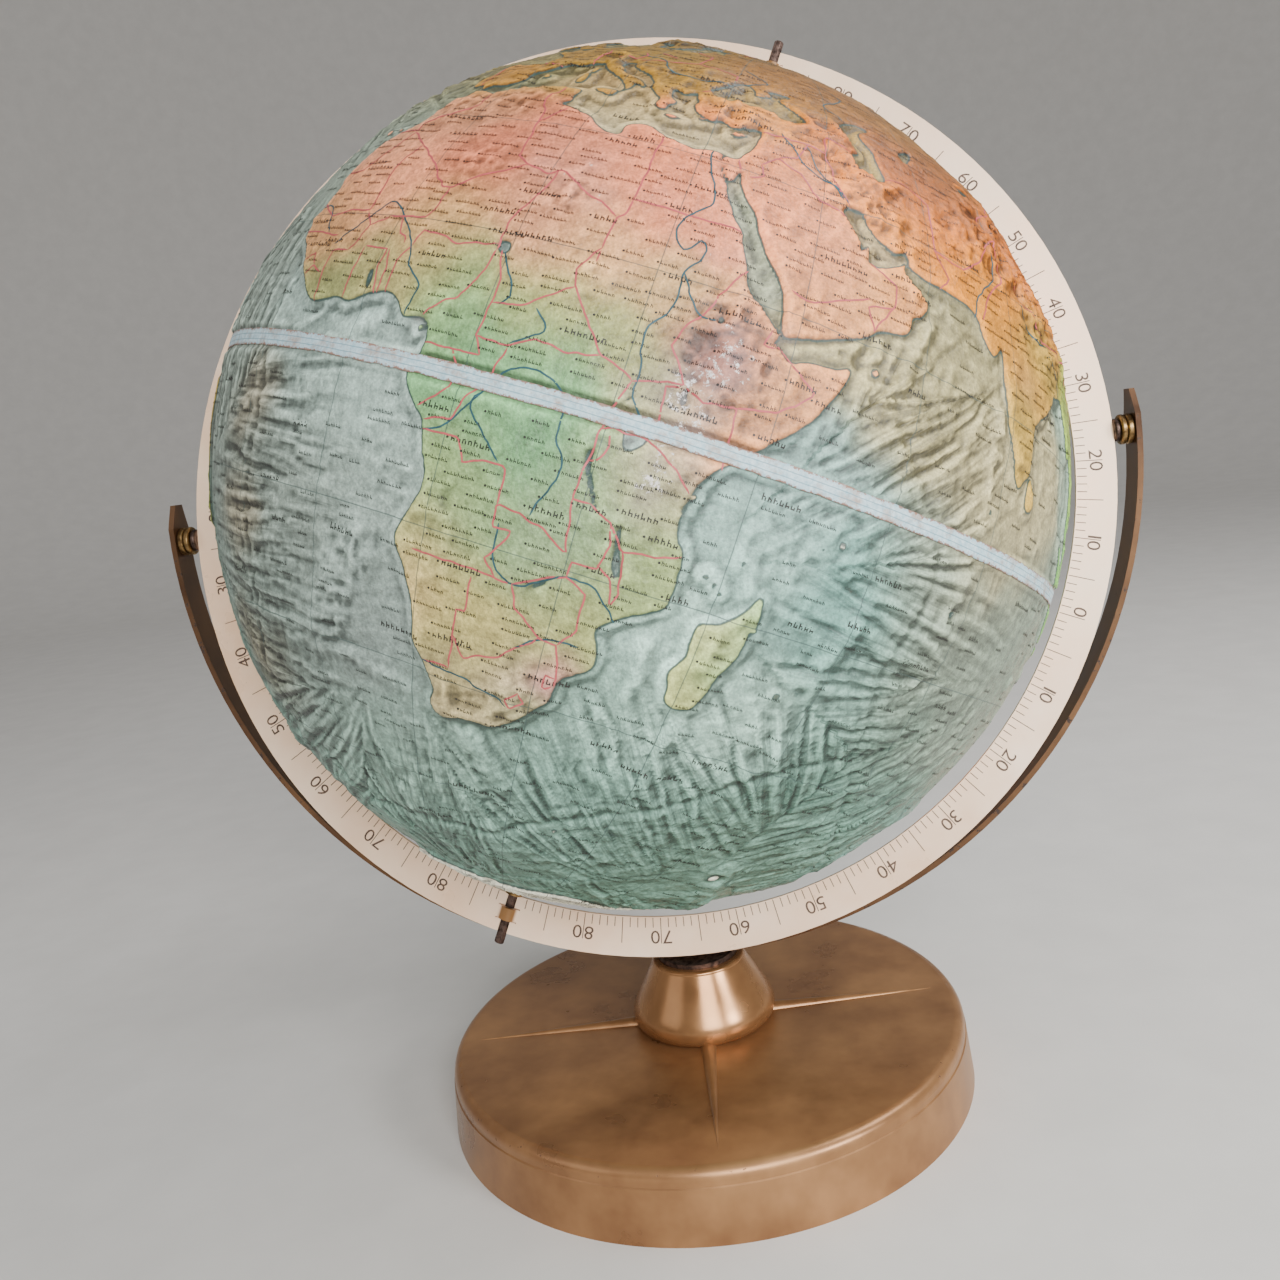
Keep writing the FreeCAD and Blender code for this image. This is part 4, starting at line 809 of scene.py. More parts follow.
    def blobs(self, text: str) -> np.ndarray:
        """Sum of round hills, each its height times exp(-(angle / size) squared), nearly.

        Args:
            text: rows of latitude, longitude, size in degrees and height.

        Returns:
            A number for each grid point.
        """
        total = np.zeros((self.rows, self.columns))
        for lat, lon, size, tall in pairs(text):
            near = self.unit @ directions(lat, lon)
            total += tall * np.exp((near - 1) / (1 - math.cos(math.radians(size))))
        return total

    def heights(self) -> np.ndarray:
        """Relief height in mm over the globe's plain radius.

        Land stands a little over the shelf, with ridged noise where the mountain hills are. The sea
        floor drops in a step past the shelf, and has ridges cut across by fracture zones, swells,
        and fine hills that lie along the ridges' flanks.

        Returns:
            A number for each grid point.
        """
        land = smooth(self.coast, -0.3, 0.9)
        hills = np.clip(self.blobs(PEAKS), 0, 1.4)
        crests = self.noise(8.0, 5, 21, ridged=True)
        plain = self.noise(6.0, 4, 22)
        mountains = 0.75 + hills * (0.35 + 1.5 * crests) + 0.22 * plain + 0.25 * np.clip(crests, 0, 1)
        deep = smooth(self.noise(9.0, 3, 29) * 1.3 - self.coast, 0.9, 3.1)
        along, away = self.ridge_along, self.ridge_away
        bend = self.noise(26.0, 3, 23)
        cuts = self.slant_noise((along + bend * 5) / self.fracture_mm, away / self.fracture_run_mm, 3.1, 24)
        steps = self.slant_noise(along / self.fault_run_mm, (away + bend * 4) / self.fault_mm, 7.7, 27)
        flank, rift, hump = (np.exp(-(away / wide) ** 2) for wide in (self.flank_mm, self.rift_mm, self.crest_mm))
        ridge = 0.8 * hump + flank * (cuts * 1.15 + steps * 0.25) - 0.7 * rift
        swell = np.zeros_like(ridge)
        for row in SWELLS.split(";"):
            ends, shape = row.split(",")
            lat0, lon0, lat1, lon1 = (float(word) for word in ends.split())
            tall, wide = (float(word) for word in shape.split())
            swell = np.maximum(swell, self.hump(lat0, lon0, lat1, lon1, wide) * tall)
        rough = self.noise(6.0, 5, 25, ridged=True)
        basin = smooth(self.noise(34.0, 3, 28), -0.25, 0.25)
        floor = ridge + swell * (1.3 + 0.9 * rough) + (0.15 + 0.4 * basin) * rough
        floor += 0.3 * self.noise(18.0, 3, 26)
        water = 0.25 - 0.95 * deep + deep * floor
        total = land * mountains + (1 - land) * water
        under_tape = smooth(np.abs(self.latitude), *self.tape_clear)[:, None]
        caps = smooth(90 - np.abs(self.latitude), *self.cap_clear)[:, None]
        return np.clip(total, *self.relief_limits_mm) * under_tape * caps

    def slant_noise(self, first: np.ndarray, second: np.ndarray, level: float, seed: int) -> np.ndarray:
        """Ridged noise over two fields instead of over the globe.

        Args:
            first: the field that it runs along, in units of its coarsest bumps.
            second: the field that it runs across, in the same units.
            level: the height at which the noise is cut.
            seed: picks another pattern.

        Returns:
            A number for each grid point.
        """
        points = np.stack([first, second, first * 0 + level], axis=-1).reshape(-1, 3)
        return fractal(points, 3, seed, ridged=True).reshape(self.rows, self.columns)

    def hump(self, lat0: float, lon0: float, lat1: float, lon1: float, wide: float) -> np.ndarray:
        """Rounded bank along a straight line, falling as exp(-(distance / width) squared).

        Args:
            lat0: latitude of the line's start.
            lon0: longitude of its start.
            lat1: latitude of its end.
            lon1: longitude of its end.
            wide: the bank's width in mm.

        Returns:
            A number from 0 to 1 for each grid point.
        """
        start, end = np.array([lat0, lon0]), np.array([lat1, lon1])
        gap, _ = self.line_distance((slice(None), slice(None)), start, end)
        return np.exp(-(gap / wide) ** 2)

    def tints(self, text: str, wander_mm: float) -> np.ndarray:
        """Colours blended from named places.

        Each place weighs exp(-(angle / size) squared), and the weights are raised to the power 1.6
        before they are shared out, so that each colour keeps a field of its own. North of about
        26 degrees, and most round one place, the colours are multiplied towards a warm tint.

        Args:
            text: rows of latitude, longitude, size in degrees and hex colour.
            wander_mm: how far noise shifts the fields' edges.

        Returns:
            Linear RGB for each grid point.
        """
        shift = np.stack([self.noise(16.0, 3, seed) for seed in (31, 32, 33)], axis=-1)
        where = self.unit + shift * (wander_mm / self.radius_mm)
        where /= np.linalg.norm(where, axis=-1, keepdims=True)
        total = np.zeros((self.rows, self.columns, 3))
        weight = np.full((self.rows, self.columns, 1), 1e-9)
        for row in text.split(","):
            lat, lon, size, colour = row.split()
            near = where @ directions(float(lat), float(lon))
            share = np.exp(1.6 * (near - 1) / (1 - math.cos(math.radians(float(size)))))[..., None]
            total += share * np.array(linear(colour)[:3])
            weight += share
        colour = total / weight
        grey = colour.mean(axis=-1, keepdims=True)
        printed = np.clip(grey + (colour - grey) * self.vivid, 0.002, 1) ** self.depth
        northern = smooth(self.latitude, 26, 48)[:, None]
        around = smooth(self.unit @ directions(*self.warm_tint_centre), 0.35, 0.8)
        return printed * np.array(linear(self.north_warm_tint)[:3]) ** (northern * around)[..., None]

    def sample(self, field_values: np.ndarray, lat: np.ndarray, lon: np.ndarray) -> np.ndarray:
        """Bilinear reading of a grid field.

        Args:
            field_values: the field over the whole grid.
            lat: latitudes to read at.
            lon: longitudes to read at.

        Returns:
            One number for each place.
        """
        row = np.clip((lat + 90) / 180 * (self.rows - 1), 0, self.rows - 1.001)
        column = ((lon - self.longitude[0]) % 360) / 360 * (self.columns - 1)
        r, c = row.astype(int), np.minimum(column.astype(int), self.columns - 2)
        u, v = row - r, column - c
        top = field_values[r, c] * (1 - v) + field_values[r, c + 1] * v
        bottom = field_values[r + 1, c] * (1 - v) + field_values[r + 1, c + 1] * v
        return top * (1 - u) + bottom * u

    def shading(self) -> np.ndarray:
        """Painted relief shading, as if lit from the north-west.

        It adds the rise towards the north-west, over a step of the grid, to how far a point lies
        below the mean of its neighbours within two steps.

        Returns:
            A number for each grid point, above zero in shadow.
        """
        step = math.radians(180 / (self.rows - 1)) * self.radius_mm
        north = np.gradient(self.height, axis=0) / step
        narrow = np.clip(np.cos(np.radians(self.latitude)), 0.05, 1)[:, None]
        east = np.gradient(self.height, axis=1) / (step * narrow)
        mean = self.height
        for axis in (0, 1):
            mean = sum(np.roll(mean, shift, axis=axis) for shift in range(-2, 3)) / 5
        sunk = mean - self.height
        return np.clip((north * 0.66 - east * 0.88) * 1.9 + sunk * 2.6, -1, 1.4)


# Finishes -----------------------------------------------------------------------------------------


@dataclass(frozen=True)
class LacqueredSteel:
    """Stamped steel sprayed with a satin lacquer that holds fine metal flake.

    The flake gives a soft broad highlight, and grease and handling give it cloudy gloss. Where the
    lacquer is worn through at rims it has gone to brown rust.
    """

    name: str
    lacquer: str
    shade: str
    rust: str = "#4a2a1c"
    metallic: float = 0.62
    roughness: float = 0.36
    flake_mm: float = 0.35
    cloud_mm: float = 34.0
    speck_mm: float = 3.2
    speck_amount: float = 0.30
    rim_height: float | None = None
    rim_radius: float = 0.0
    strip_edge: float | None = None
    loop_centre: tuple[float, float, float] | None = None
    loop_normal: tuple[float, float, float] = (0.0, -1.0, 0.0)
    loop_gold: str = "#8a6237"
    loop_rise_mm: tuple[float, float] = (1.1, 2.2)
    rim_reach_mm: float = 5.0
    rim_band_mm: tuple[float, float] = (0.5, 4.0)
    rim_wear: float = 0.17
    edge_band_mm: float = 1.4
    edge_wear: float = 0.14
    worn_run: float = 0.035

    def material(self) -> bpy.types.Material:
        """Build the node tree.

        Returns:
            The new material.
        """
        made, tree, surface, where = new_material(self.name)
        cloud = grain(tree, where, self.cloud_mm, 4.0, 0.6)
        speck = grain(tree, where, self.speck_mm, 5.0, 0.65)
        flake = grain(tree, where, self.flake_mm, 2.0)
        coat = mixed(tree, ranged(tree, cloud, 0.32, 0.72), linear(self.shade), linear(self.lacquer))
        worn = self.wear(tree, where, speck)
        if self.loop_centre is not None:
            away = node(tree, "VectorMath", {"operation": "SUBTRACT"}, in_0=where, in_1=self.loop_centre)
            proud = node(tree, "VectorMath", {"operation": "DOT_PRODUCT"}, in_0=away.outputs[0],
                         in_1=self.loop_normal)
            low, high = (rise * MM for rise in self.loop_rise_mm)
            raised = ranged(tree, proud.outputs["Value"], low, high)
            coat = mixed(tree, raised, coat, linear(self.loop_gold))
        tree.links.new(mixed(tree, worn, coat, linear(self.rust)), surface.inputs["Base Color"])
        gloss = ranged(tree, cloud, 0.3, 0.7, self.roughness - 0.06, self.roughness + 0.1)
        tree.links.new(maths(tree, "MULTIPLY_ADD", worn, 0.35, gloss), surface.inputs["Roughness"])
        bright = maths(tree, "MULTIPLY_ADD", worn, -self.metallic, self.metallic)
        tree.links.new(bright, surface.inputs["Metallic"])
        flaked = relief(tree, flake, 0.02, 0.35)
        tree.links.new(relief(tree, worn, -0.05, 0.6, Normal=flaked), surface.inputs["Normal"])
        return made

    def wear(self, tree: bpy.types.NodeTree, where: bpy.types.NodeSocket,
             speck: bpy.types.NodeSocket) -> bpy.types.NodeSocket:
        """Where the lacquer is gone: a few specks anywhere, and more along a rim or a strip's edges.

        Args:
            tree: the material's node tree.
            where: object coordinates.
            speck: fine noise from 0 to 1.

        Returns:
            A socket that is 1 on bare rusty metal.
        """
        parts = node(tree, "SeparateXYZ", Vector=where).outputs
        limit = speck
        if self.rim_height is not None:
            gap = maths(tree, "ABSOLUTE", maths(tree, "SUBTRACT", parts["Z"], self.rim_height))
            flat = node(tree, "CombineXYZ", X=parts["X"], Y=parts["Y"])
            reach = node(tree, "VectorMath", {"operation": "LENGTH"}, in_0=flat.outputs[0])
            inner = self.rim_radius - self.rim_reach_mm * MM
            outside = ranged(tree, reach.outputs["Value"], inner, self.rim_radius)
            near, far = (distance * MM for distance in self.rim_band_mm)
            band = ranged(tree, gap, near, far, self.rim_wear, 0.0)
            limit = maths(tree, "ADD", speck, maths(tree, "MULTIPLY", band, outside))
        elif self.strip_edge is not None:
            side = maths(tree, "ABSOLUTE", parts["Y"])
            inner = self.strip_edge - self.edge_band_mm * MM
            limit = maths(tree, "ADD", speck, ranged(tree, side, inner, self.strip_edge, 0.0, self.edge_wear))
        start = 0.78 - self.speck_amount * 0.12
        return ranged(tree, limit, start, start + self.worn_run)


@dataclass(frozen=True)
class BareMetal:
    """Turned or drawn metal that was never painted.

    Fine tool lines spread its highlight, and a film of tarnish lies in patches.
    """

    name: str
    metal: str
    tarnish: str
    roughness: float = 0.32
    patch_mm: float = 2.4
    line_mm: float = 0.25

    def material(self) -> bpy.types.Material:
        """Build the node tree.

        Returns:
            The new material.
        """
        made, tree, surface, where = new_material(self.name)
        surface.inputs["Metallic"].default_value = 1.0
        film = ranged(tree, grain(tree, where, self.patch_mm, 4.0, 0.65), 0.38, 0.66)
        colour = mixed(tree, film, linear(self.metal), linear(self.tarnish))
        tree.links.new(colour, surface.inputs["Base Color"])
        gloss = ranged(tree, film, 0.0, 1.0, self.roughness, self.roughness + 0.28)
        tree.links.new(gloss, surface.inputs["Roughness"])
        lines = grain(tree, where, self.line_mm, 2.0)
        tree.links.new(relief(tree, lines, 0.02, 0.4), surface.inputs["Normal"])
        return made


@dataclass(frozen=True)
class PlainStock:
    """Board, ink or paper: one colour family with a fibre or grain pattern and no gloss."""

    name: str
    light: str
    dark: str
    grain_mm: float = 1.2
    roughness: float = 0.8

    def material(self) -> bpy.types.Material:
        """Build the node tree.

        Returns:
            The new material.
        """
        made, tree, surface, where = new_material(self.name)
        surface.inputs["Roughness"].default_value = self.roughness
        fibre = grain(tree, where, self.grain_mm, 4.0, 0.6)
        colour = mixed(tree, ranged(tree, fibre, 0.35, 0.68), linear(self.dark), linear(self.light))
        tree.links.new(colour, surface.inputs["Base Color"])
        tree.links.new(relief(tree, fibre, 0.02, 0.3), surface.inputs["Normal"])
        return made


@dataclass(frozen=True)
class PrintedSkin:
    """Moulded vinyl map: colours printed on the sheet, a satin varnish, and white scuffs.

    The vinyl is glossy where hands polished it and chalky where the print is rubbed off.
    """

    name: str = "printed_vinyl_map"
    coast_ink: str = "#2f4642"
    grid_ink: str = "#3d4f4c"
    scuff_white: str = "#f1ece8"
    faded_pink: str = "#c3a3a8"
    dirt: str = "#40382c"
    grid_step: float = 15.0
    roughness: float = 0.42
    mottle_mm: float = 4.5
    grain_mm: float = 0.9
    rub_mm: float = 2.4
    spot_mm: float = 2.2
    crumple_mm: float = 2.2
    crumple_depth_mm: float = 0.8
    groove_share: float = 1.6
    coast_line_mm: tuple[float, float] = (0.18, 0.38)
    grid_line_steps: tuple[float, float] = (0.0022, 0.0052)

    def material(self) -> bpy.types.Material:
        """Build the node tree.

        The colour is the sea's or the land's, times the painted relief shading, the painted shade in the
        ridges' grooves and the mottle of the print, then ink lines, a pink tint at the scuffs, bare scuffs
        and dirt in that order.

        Returns:
            The new material.
        """
        made, tree, surface, where = new_material(self.name)
        labels = ("land_tint", "sea_tint", "coast_mm", "shade", "scuff", "map_place", "flank", "ridge_place")
        read = {name: node(tree, "Attribute", {"attribute_name": name}).outputs for name in labels}
        coast, scuff, flank = (read[name]["Fac"] for name in ("coast_mm", "scuff", "flank"))
        shore = ranged(tree, coast, -0.05, 0.05)
        ground = mixed(tree, shore, read["sea_tint"]["Vector"], read["land_tint"]["Vector"])
        mottle = grain(tree, where, self.mottle_mm, 5.0, 0.65)
        tone = ranged(tree, mottle, 0.3, 0.7, 0.74, 1.2)
        fine = ranged(tree, grain(tree, where, self.grain_mm, 3.0, 0.6), 0.3, 0.7, 0.72, 1.24)
        painted = ranged(tree, read["shade"]["Fac"], -0.7, 0.9, 1.5, 0.30)
        # Painted shade in the grooves on the ridges' flanks: the noise that bumps the grooves also darkens their
        # low parts and lightens their crests.
        groove = node(tree, "TexNoise", Vector=read["ridge_place"]["Vector"], Scale=1.0, Detail=4.0,
                      Roughness=0.55).outputs["Fac"]
        ridge_groove_shade = ranged(tree, groove, 0.40, 0.58, 0.48, 1.22)
        flank_groove_shade = maths(tree, "MULTIPLY_ADD", maths(tree, "SUBTRACT", ridge_groove_shade, 1.0), flank, 1.0)
        relief_and_groove_shade = maths(tree, "MULTIPLY", painted, flank_groove_shade)
        level = maths(tree, "MULTIPLY", maths(tree, "MULTIPLY", tone, fine), relief_and_groove_shade)
        shaded = node(tree, "VectorMath", {"operation": "SCALE"}, in_0=ground, Scale=level).outputs[0]
        inked = mixed(tree, self.coast_line(tree, coast), shaded, linear(self.coast_ink))
        inked = mixed(tree, self.grid_line(tree, read["map_place"]["Vector"]), inked, linear(self.grid_ink))
        # A slight even pink tint where the scuffs lie.
        scuff_tinted = mixed(tree, maths(tree, "MULTIPLY", scuff, 0.14), inked, linear(self.faded_pink))
        rub = grain(tree, where, self.rub_mm, 9.0, 0.8)
        bare = ranged(tree, maths(tree, "MULTIPLY_ADD", scuff, 0.13, rub), 0.69, 0.74)
        rubbed = mixed(tree, bare, scuff_tinted, linear(self.scuff_white))
        grime = ranged(tree, grain(tree, where, self.spot_mm, 8.0, 0.78), 0.58, 0.72, 0.0, 0.6)
        tree.links.new(mixed(tree, grime, rubbed, linear(self.dirt)), surface.inputs["Base Color"])
        gloss = ranged(tree, mottle, 0.3, 0.7, self.roughness - 0.08, self.roughness + 0.10)
        tree.links.new(maths(tree, "MULTIPLY_ADD", bare, 0.25, gloss), surface.inputs["Roughness"])
        crumple = grain(tree, where, self.crumple_mm, 5.0, 0.6)
        cut = maths(tree, "MULTIPLY", groove, flank)
        wrought = maths(tree, "MULTIPLY_ADD", cut, self.groove_share, crumple)
        tree.links.new(relief(tree, wrought, self.crumple_depth_mm, 0.8), surface.inputs["Normal"])
        return made

    def coast_line(self, tree: bpy.types.NodeTree, coast: bpy.types.NodeSocket) -> bpy.types.NodeSocket:
        """Ink line about half a millimetre wide where the coast distance is zero."""
        gap = maths(tree, "ABSOLUTE", coast)
        return ranged(tree, gap, *self.coast_line_mm, 0.9, 0.0)

    def grid_line(self, tree: bpy.types.NodeTree, place: bpy.types.NodeSocket) -> bpy.types.NodeSocket:
        """Ink lines of the graticule at even steps of longitude and latitude.

        Args:
            tree: the material's node tree.
            place: a vector of longitude, latitude and the latitude's cosine.

        Returns:
            A socket that is above zero on a line.
        """
        parts = node(tree, "SeparateXYZ", Vector=place).outputs
        lines = []
        for number, narrowing in ((parts["X"], parts["Z"]), (parts["Y"], 1.0)):
            steps = maths(tree, "DIVIDE", number, self.grid_step)
            off = maths(tree, "SUBTRACT", steps, maths(tree, "ROUND", steps))
            width = maths(tree, "MULTIPLY", maths(tree, "ABSOLUTE", off), narrowing)
            lines.append(ranged(tree, width, *self.grid_line_steps, 0.75, 0.0))
        return maths(tree, "MAXIMUM", *lines)


@dataclass(frozen=True)
class PaperTape:
    """Printed paper tape: pale blue, two ruled lines, and edges gone brown with old glue.

    Its fibres take the print unevenly and stand a little proud, and stains lie in patches.
    """

    name: str = "printed_paper_tape"
    blue: str = "#8db4c2"
    pale: str = "#d4e6ea"
    stain: str = "#a3846c"
    rule: str = "#5f8b9a"
    glue: str = "#8e6450"
    stain_mm: float = 7.0
    fibre_mm: float = 1.3
    rule_place: float = 0.34
    roughness: float = 0.55

    def material(self) -> bpy.types.Material:
        """Build the node tree.

        Returns:
            The new material.
        """
        made, tree, surface, where = new_material(self.name)
        surface.inputs["Roughness"].default_value = self.roughness
        side = node(tree, "Attribute", {"attribute_name": "tape_side"}).outputs["Fac"]
        side = maths(tree, "ABSOLUTE", side)
        fibre = grain(tree, where, self.fibre_mm, 5.0, 0.7)
        paper = mixed(tree, ranged(tree, fibre, 0.3, 0.7), linear(self.blue), linear(self.pale))
        soiled = ranged(tree, grain(tree, where, self.stain_mm, 6.0, 0.7), 0.48, 0.64, 0.0, 0.75)
        aged = mixed(tree, soiled, paper, linear(self.stain))
        gap = maths(tree, "ABSOLUTE", maths(tree, "SUBTRACT", side, self.rule_place))
        ruled = mixed(tree, ranged(tree, gap, 0.035, 0.075, 0.7, 0.0), aged, linear(self.rule))
        torn = maths(tree, "MULTIPLY_ADD", side, 0.60, fibre)
        final = mixed(tree, ranged(tree, torn, 0.99, 1.06, 0.0, 0.9), ruled, linear(self.glue))
        tree.links.new(final, surface.inputs["Base Color"])
        tree.links.new(relief(tree, fibre, 0.12, 0.5), surface.inputs["Normal"])
        return made


class Finish(Enum):
    """Every plain finish on the object, by what it is."""

    BASE = "base"
    HUB = "hub"
    BOW = "bow"
    RING = "ring"
    BRASS = "brass"
    STEEL = "steel"
    ZINC = "zinc"
    BOARD = "board"


# Sub-assemblies -----------------------------------------------------------------------------------


@dataclass
class GlobeSkin:
    """The printed relief skin, in four quarters that share one grid."""

    frame: GlobeFrame
    grid: MapGrid
    finish: PrintedSkin = field(default_factory=PrintedSkin)
    groove_mm: float = 2.3
    groove_run_mm: float = 30.0
    flank_mm: float = 38.0

    def build(self) -> None:
        """Make every piece of the skin."""
        material = self.finish.material()
        grid = self.grid
        lat, lon = np.meshgrid(grid.latitude, grid.longitude, indexing="ij")
        lie = np.stack([grid.ridge_along / self.groove_mm, grid.ridge_away / self.groove_run_mm, lat * 0],
                       axis=-1)
        fields = {
            "land_tint": grid.tints(LAND_TINTS, 5.0),
            "sea_tint": grid.tints(SEA_TINTS, 8.0),
            "coast_mm": grid.coast,
            "shade": grid.shading(),
            "scuff": np.clip(grid.blobs(SCUFFS), 0, 1.2),
            "flank": np.exp(-(grid.ridge_away / self.flank_mm) ** 2) * smooth(-grid.coast, 2, 6),
            "map_place": np.stack([lon, lat, np.cos(np.radians(lat))], axis=-1),
            "ridge_place": lie,
        }
        middle, half = grid.rows // 2, grid.columns // 2
        for pole, rows in (("north", slice(middle, grid.rows)), ("south", slice(0, middle + 1))):
            for side, columns in (("front", slice(0, half + 1)), ("back", slice(half, grid.columns))):
                north = pole == "north"
                piece = self.patch(f"{pole}_{side}_skin", rows, columns, north)
                for label, values in fields.items():
                    store(piece.data, label, self.in_order(values, rows, columns, north))
                piece.data.materials.append(material)
                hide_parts(pole + "_shell")

    def patch(self, name: str, rows: slice, columns: slice, north: bool) -> bpy.types.Object:
        """One quarter of the sphere from the shared grid, closed to a point at its pole.

        Args:
            name: the piece's name.
            rows: the grid rows that it covers.
            columns: the grid columns that it covers.
            north: True if its last row is the north pole.

        Returns:
            The new piece, with a map layout of longitude across and latitude up.
        """
        count, across = self.grid.unit[rows, columns].shape[:2]
        unit = self.in_order(self.grid.unit, rows, columns, north)
        tall = self.in_order(self.grid.height, rows, columns, north)
        points = self.frame.place(unit, self.frame.radius + tall * MM)
        index = np.arange((count - 1) * across).reshape(count - 1, across)
        quads = grid_faces(index)
        edge = index[-1] if north else index[0, ::-1]
        fans = np.stack([edge[:-1], edge[1:], np.full(across - 1, index.size)], axis=1)
        piece = new_mesh(name, points, quads.tolist() + fans.tolist(), "globe")
        mesh = piece.data
        levels = np.linspace(0, 1, count)
        flat = np.stack([np.tile(np.linspace(0, 1, across), count - 1),
                         np.repeat(levels[:-1] if north else levels[1:], across)], axis=1)
        fan_places = flat[fans[:, :2]]
        tips = np.stack([fan_places[:, :, 0].mean(axis=1), np.full(across - 1, float(north))], axis=1)
        fan_places = np.concatenate([fan_places, tips[:, None]], axis=1).reshape(-1, 2)
        places = np.vstack([flat[quads.ravel()], fan_places]).astype(np.float32)
        layer = mesh.uv_layers.new(name="OFBake")
        layer.data.foreach_set("uv", places.ravel())
        return piece

    @staticmethod
    def in_order(values: np.ndarray, rows: slice, columns: slice, north: bool) -> np.ndarray:
        """A grid field in the order of a quarter's vertices.

        Args:
            values: the field over the whole grid, with any number of parts for each point.
            rows: the grid rows that the quarter covers.
            columns: the grid columns that it covers.
            north: True if its last row is the north pole.

        Returns:
            The rows one after another without the pole's, then one value for the pole.
        """
        block = values[rows, columns]
        pole, rest = (block[-1, :1], block[:-1]) if north else (block[0, :1], block[1:])
        return np.concatenate([rest.reshape(-1, *values.shape[2:]), pole])


@dataclass
class PrintedLines:
    """Borders, rivers, towns and small print that lie on the relief as films of ink."""

    frame: GlobeFrame
    grid: MapGrid
    lift_mm: float = 0.09
    step_mm: float = 1.1
    border_mm: float = 0.5
    river_mm: float = 0.5
    town_mm: float = 0.36
    row_gap_mm: float = 2.4
    name_gap_mm: float = 7.2
    bold_share: float = 0.1
    letter_mm: float = 1.15
    bold_mm: float = 1.9
    tries: int = 30000
    seed: int = 1967
    sea_share: float = 0.12
    tape_clear: float = 2.4
    stroke: float = 0.17
    bar: float = 0.28
    short_stem: float = 0.42
    pitch: float = 0.86
    first_mark: float = 0.6
    foot: float = 0.35

    def build(self) -> None:
        """Make the ink pieces."""
        inks = {
            "border": PlainStock("carmine_border_ink", "#c4565a", "#a9474c", 3.0, 0.5),
            "river": PlainStock("blue_black_river_ink", "#2c5a64", "#1c3f48", 3.0, 0.5),
            "print": PlainStock("black_map_ink", "#2e2a28", "#171514", 3.0, 0.5),
        }
        borders = self.ribbons("border_lines", BORDERS.split(";"), self.border_mm, 0.8, False)
        borders.data.materials.append(inks["border"].material())
        rivers = self.ribbons("river_lines", RIVERS.split(";"), self.river_mm, 0.9, True)
        rivers.data.materials.append(inks["river"].material())
        self.small_print().data.materials.append(inks["print"].material())

    def on_skin(self, latitude: np.ndarray, longitude: np.ndarray) -> np.ndarray:
        """Places just over the relief at any latitude and longitude."""
        tall = self.grid.sample(self.grid.height, latitude, longitude) + self.lift_mm
        return self.frame.place(directions(latitude, longitude), self.frame.radius + tall * MM)

    def ribbons(self, name: str, texts: list[str], width_mm: float, waver_mm: float,
                smooth_bends: bool) -> bpy.types.Object:
        """Flat ribbons along many lines.

        Each line is a Catmull-Rom curve cut into even steps. Noise moves it sideways, and its two
        edges lie half a width to each side along the cross product of the radius and the line.

        Args:
            name: the piece's name.
            texts: one line's corners each, as latitude and longitude.
            width_mm: the ribbon's width.
            waver_mm: how far noise moves the line.
            smooth_bends: False keeps the corners, as ruled borders have.

        Returns:
            The new piece.
        """
        points, faces, count = [], [], 0
        for text in texts:
            curve = rounded(pairs(text), 12, False) if smooth_bends else pairs(text)
            unit = directions(curve[:, 0], curve[:, 1])
            run = np.concatenate([[0], np.cumsum(np.linalg.norm(np.diff(unit, axis=0), axis=1))])
            run *= self.grid.radius_mm
            even = np.linspace(0, run[-1], max(int(run[-1] / self.step_mm), 2) + 1)
            unit = np.stack([np.interp(even, run, unit[:, axis]) for axis in range(3)], axis=1)
            unit /= np.linalg.norm(unit, axis=1)[:, None]
            ahead = np.gradient(unit, axis=0)
            side = np.cross(unit, ahead)
            side /= np.linalg.norm(side, axis=1)[:, None]
            waver = fractal(unit * (self.grid.radius_mm / 4.5), 3, 51) * waver_mm
            waver *= smooth(np.minimum(even, even[-1] - even), 0, 2.0)
            half = np.clip(np.minimum(even, even[-1] - even) / 0.8, 0.3, 1) * width_mm / 2
            offsets = [(waver + sign * half) / self.grid.radius_mm for sign in (1, -1)]
            edges = [unit + side * offset[:, None] for offset in offsets]
            strip = np.stack(edges, axis=1).reshape(-1, 3)
            lat = np.degrees(np.arcsin(np.clip(strip[:, 2] / np.linalg.norm(strip, axis=1), -1, 1)))
            lon = np.degrees(np.arctan2(strip[:, 1], strip[:, 0]))
            points.append(self.on_skin(lat, lon))
            first = count + 2 * np.arange(len(even) - 1)
            faces.append(np.stack([first, first + 1, first + 3, first + 2], axis=1))
            count += 2 * len(even)
        return new_mesh(name, np.vstack(points), np.vstack(faces).tolist(), "globe")

    @staticmethod
    def boxes(left: np.ndarray, wide: float, low: np.ndarray, high: np.ndarray) -> np.ndarray:
        """Corners of upright boxes, turning left round each.

        Args:
            left: each box's left side.
            wide: the width of all boxes.
            low: each box's bottom.
            high: each box's top.

        Returns:
            Four rows of two numbers for each box.
        """
        return np.stack([np.stack([left, low], 1), np.stack([left + wide, low], 1),
                         np.stack([left + wide, high], 1), np.stack([left, high], 1)], axis=1)

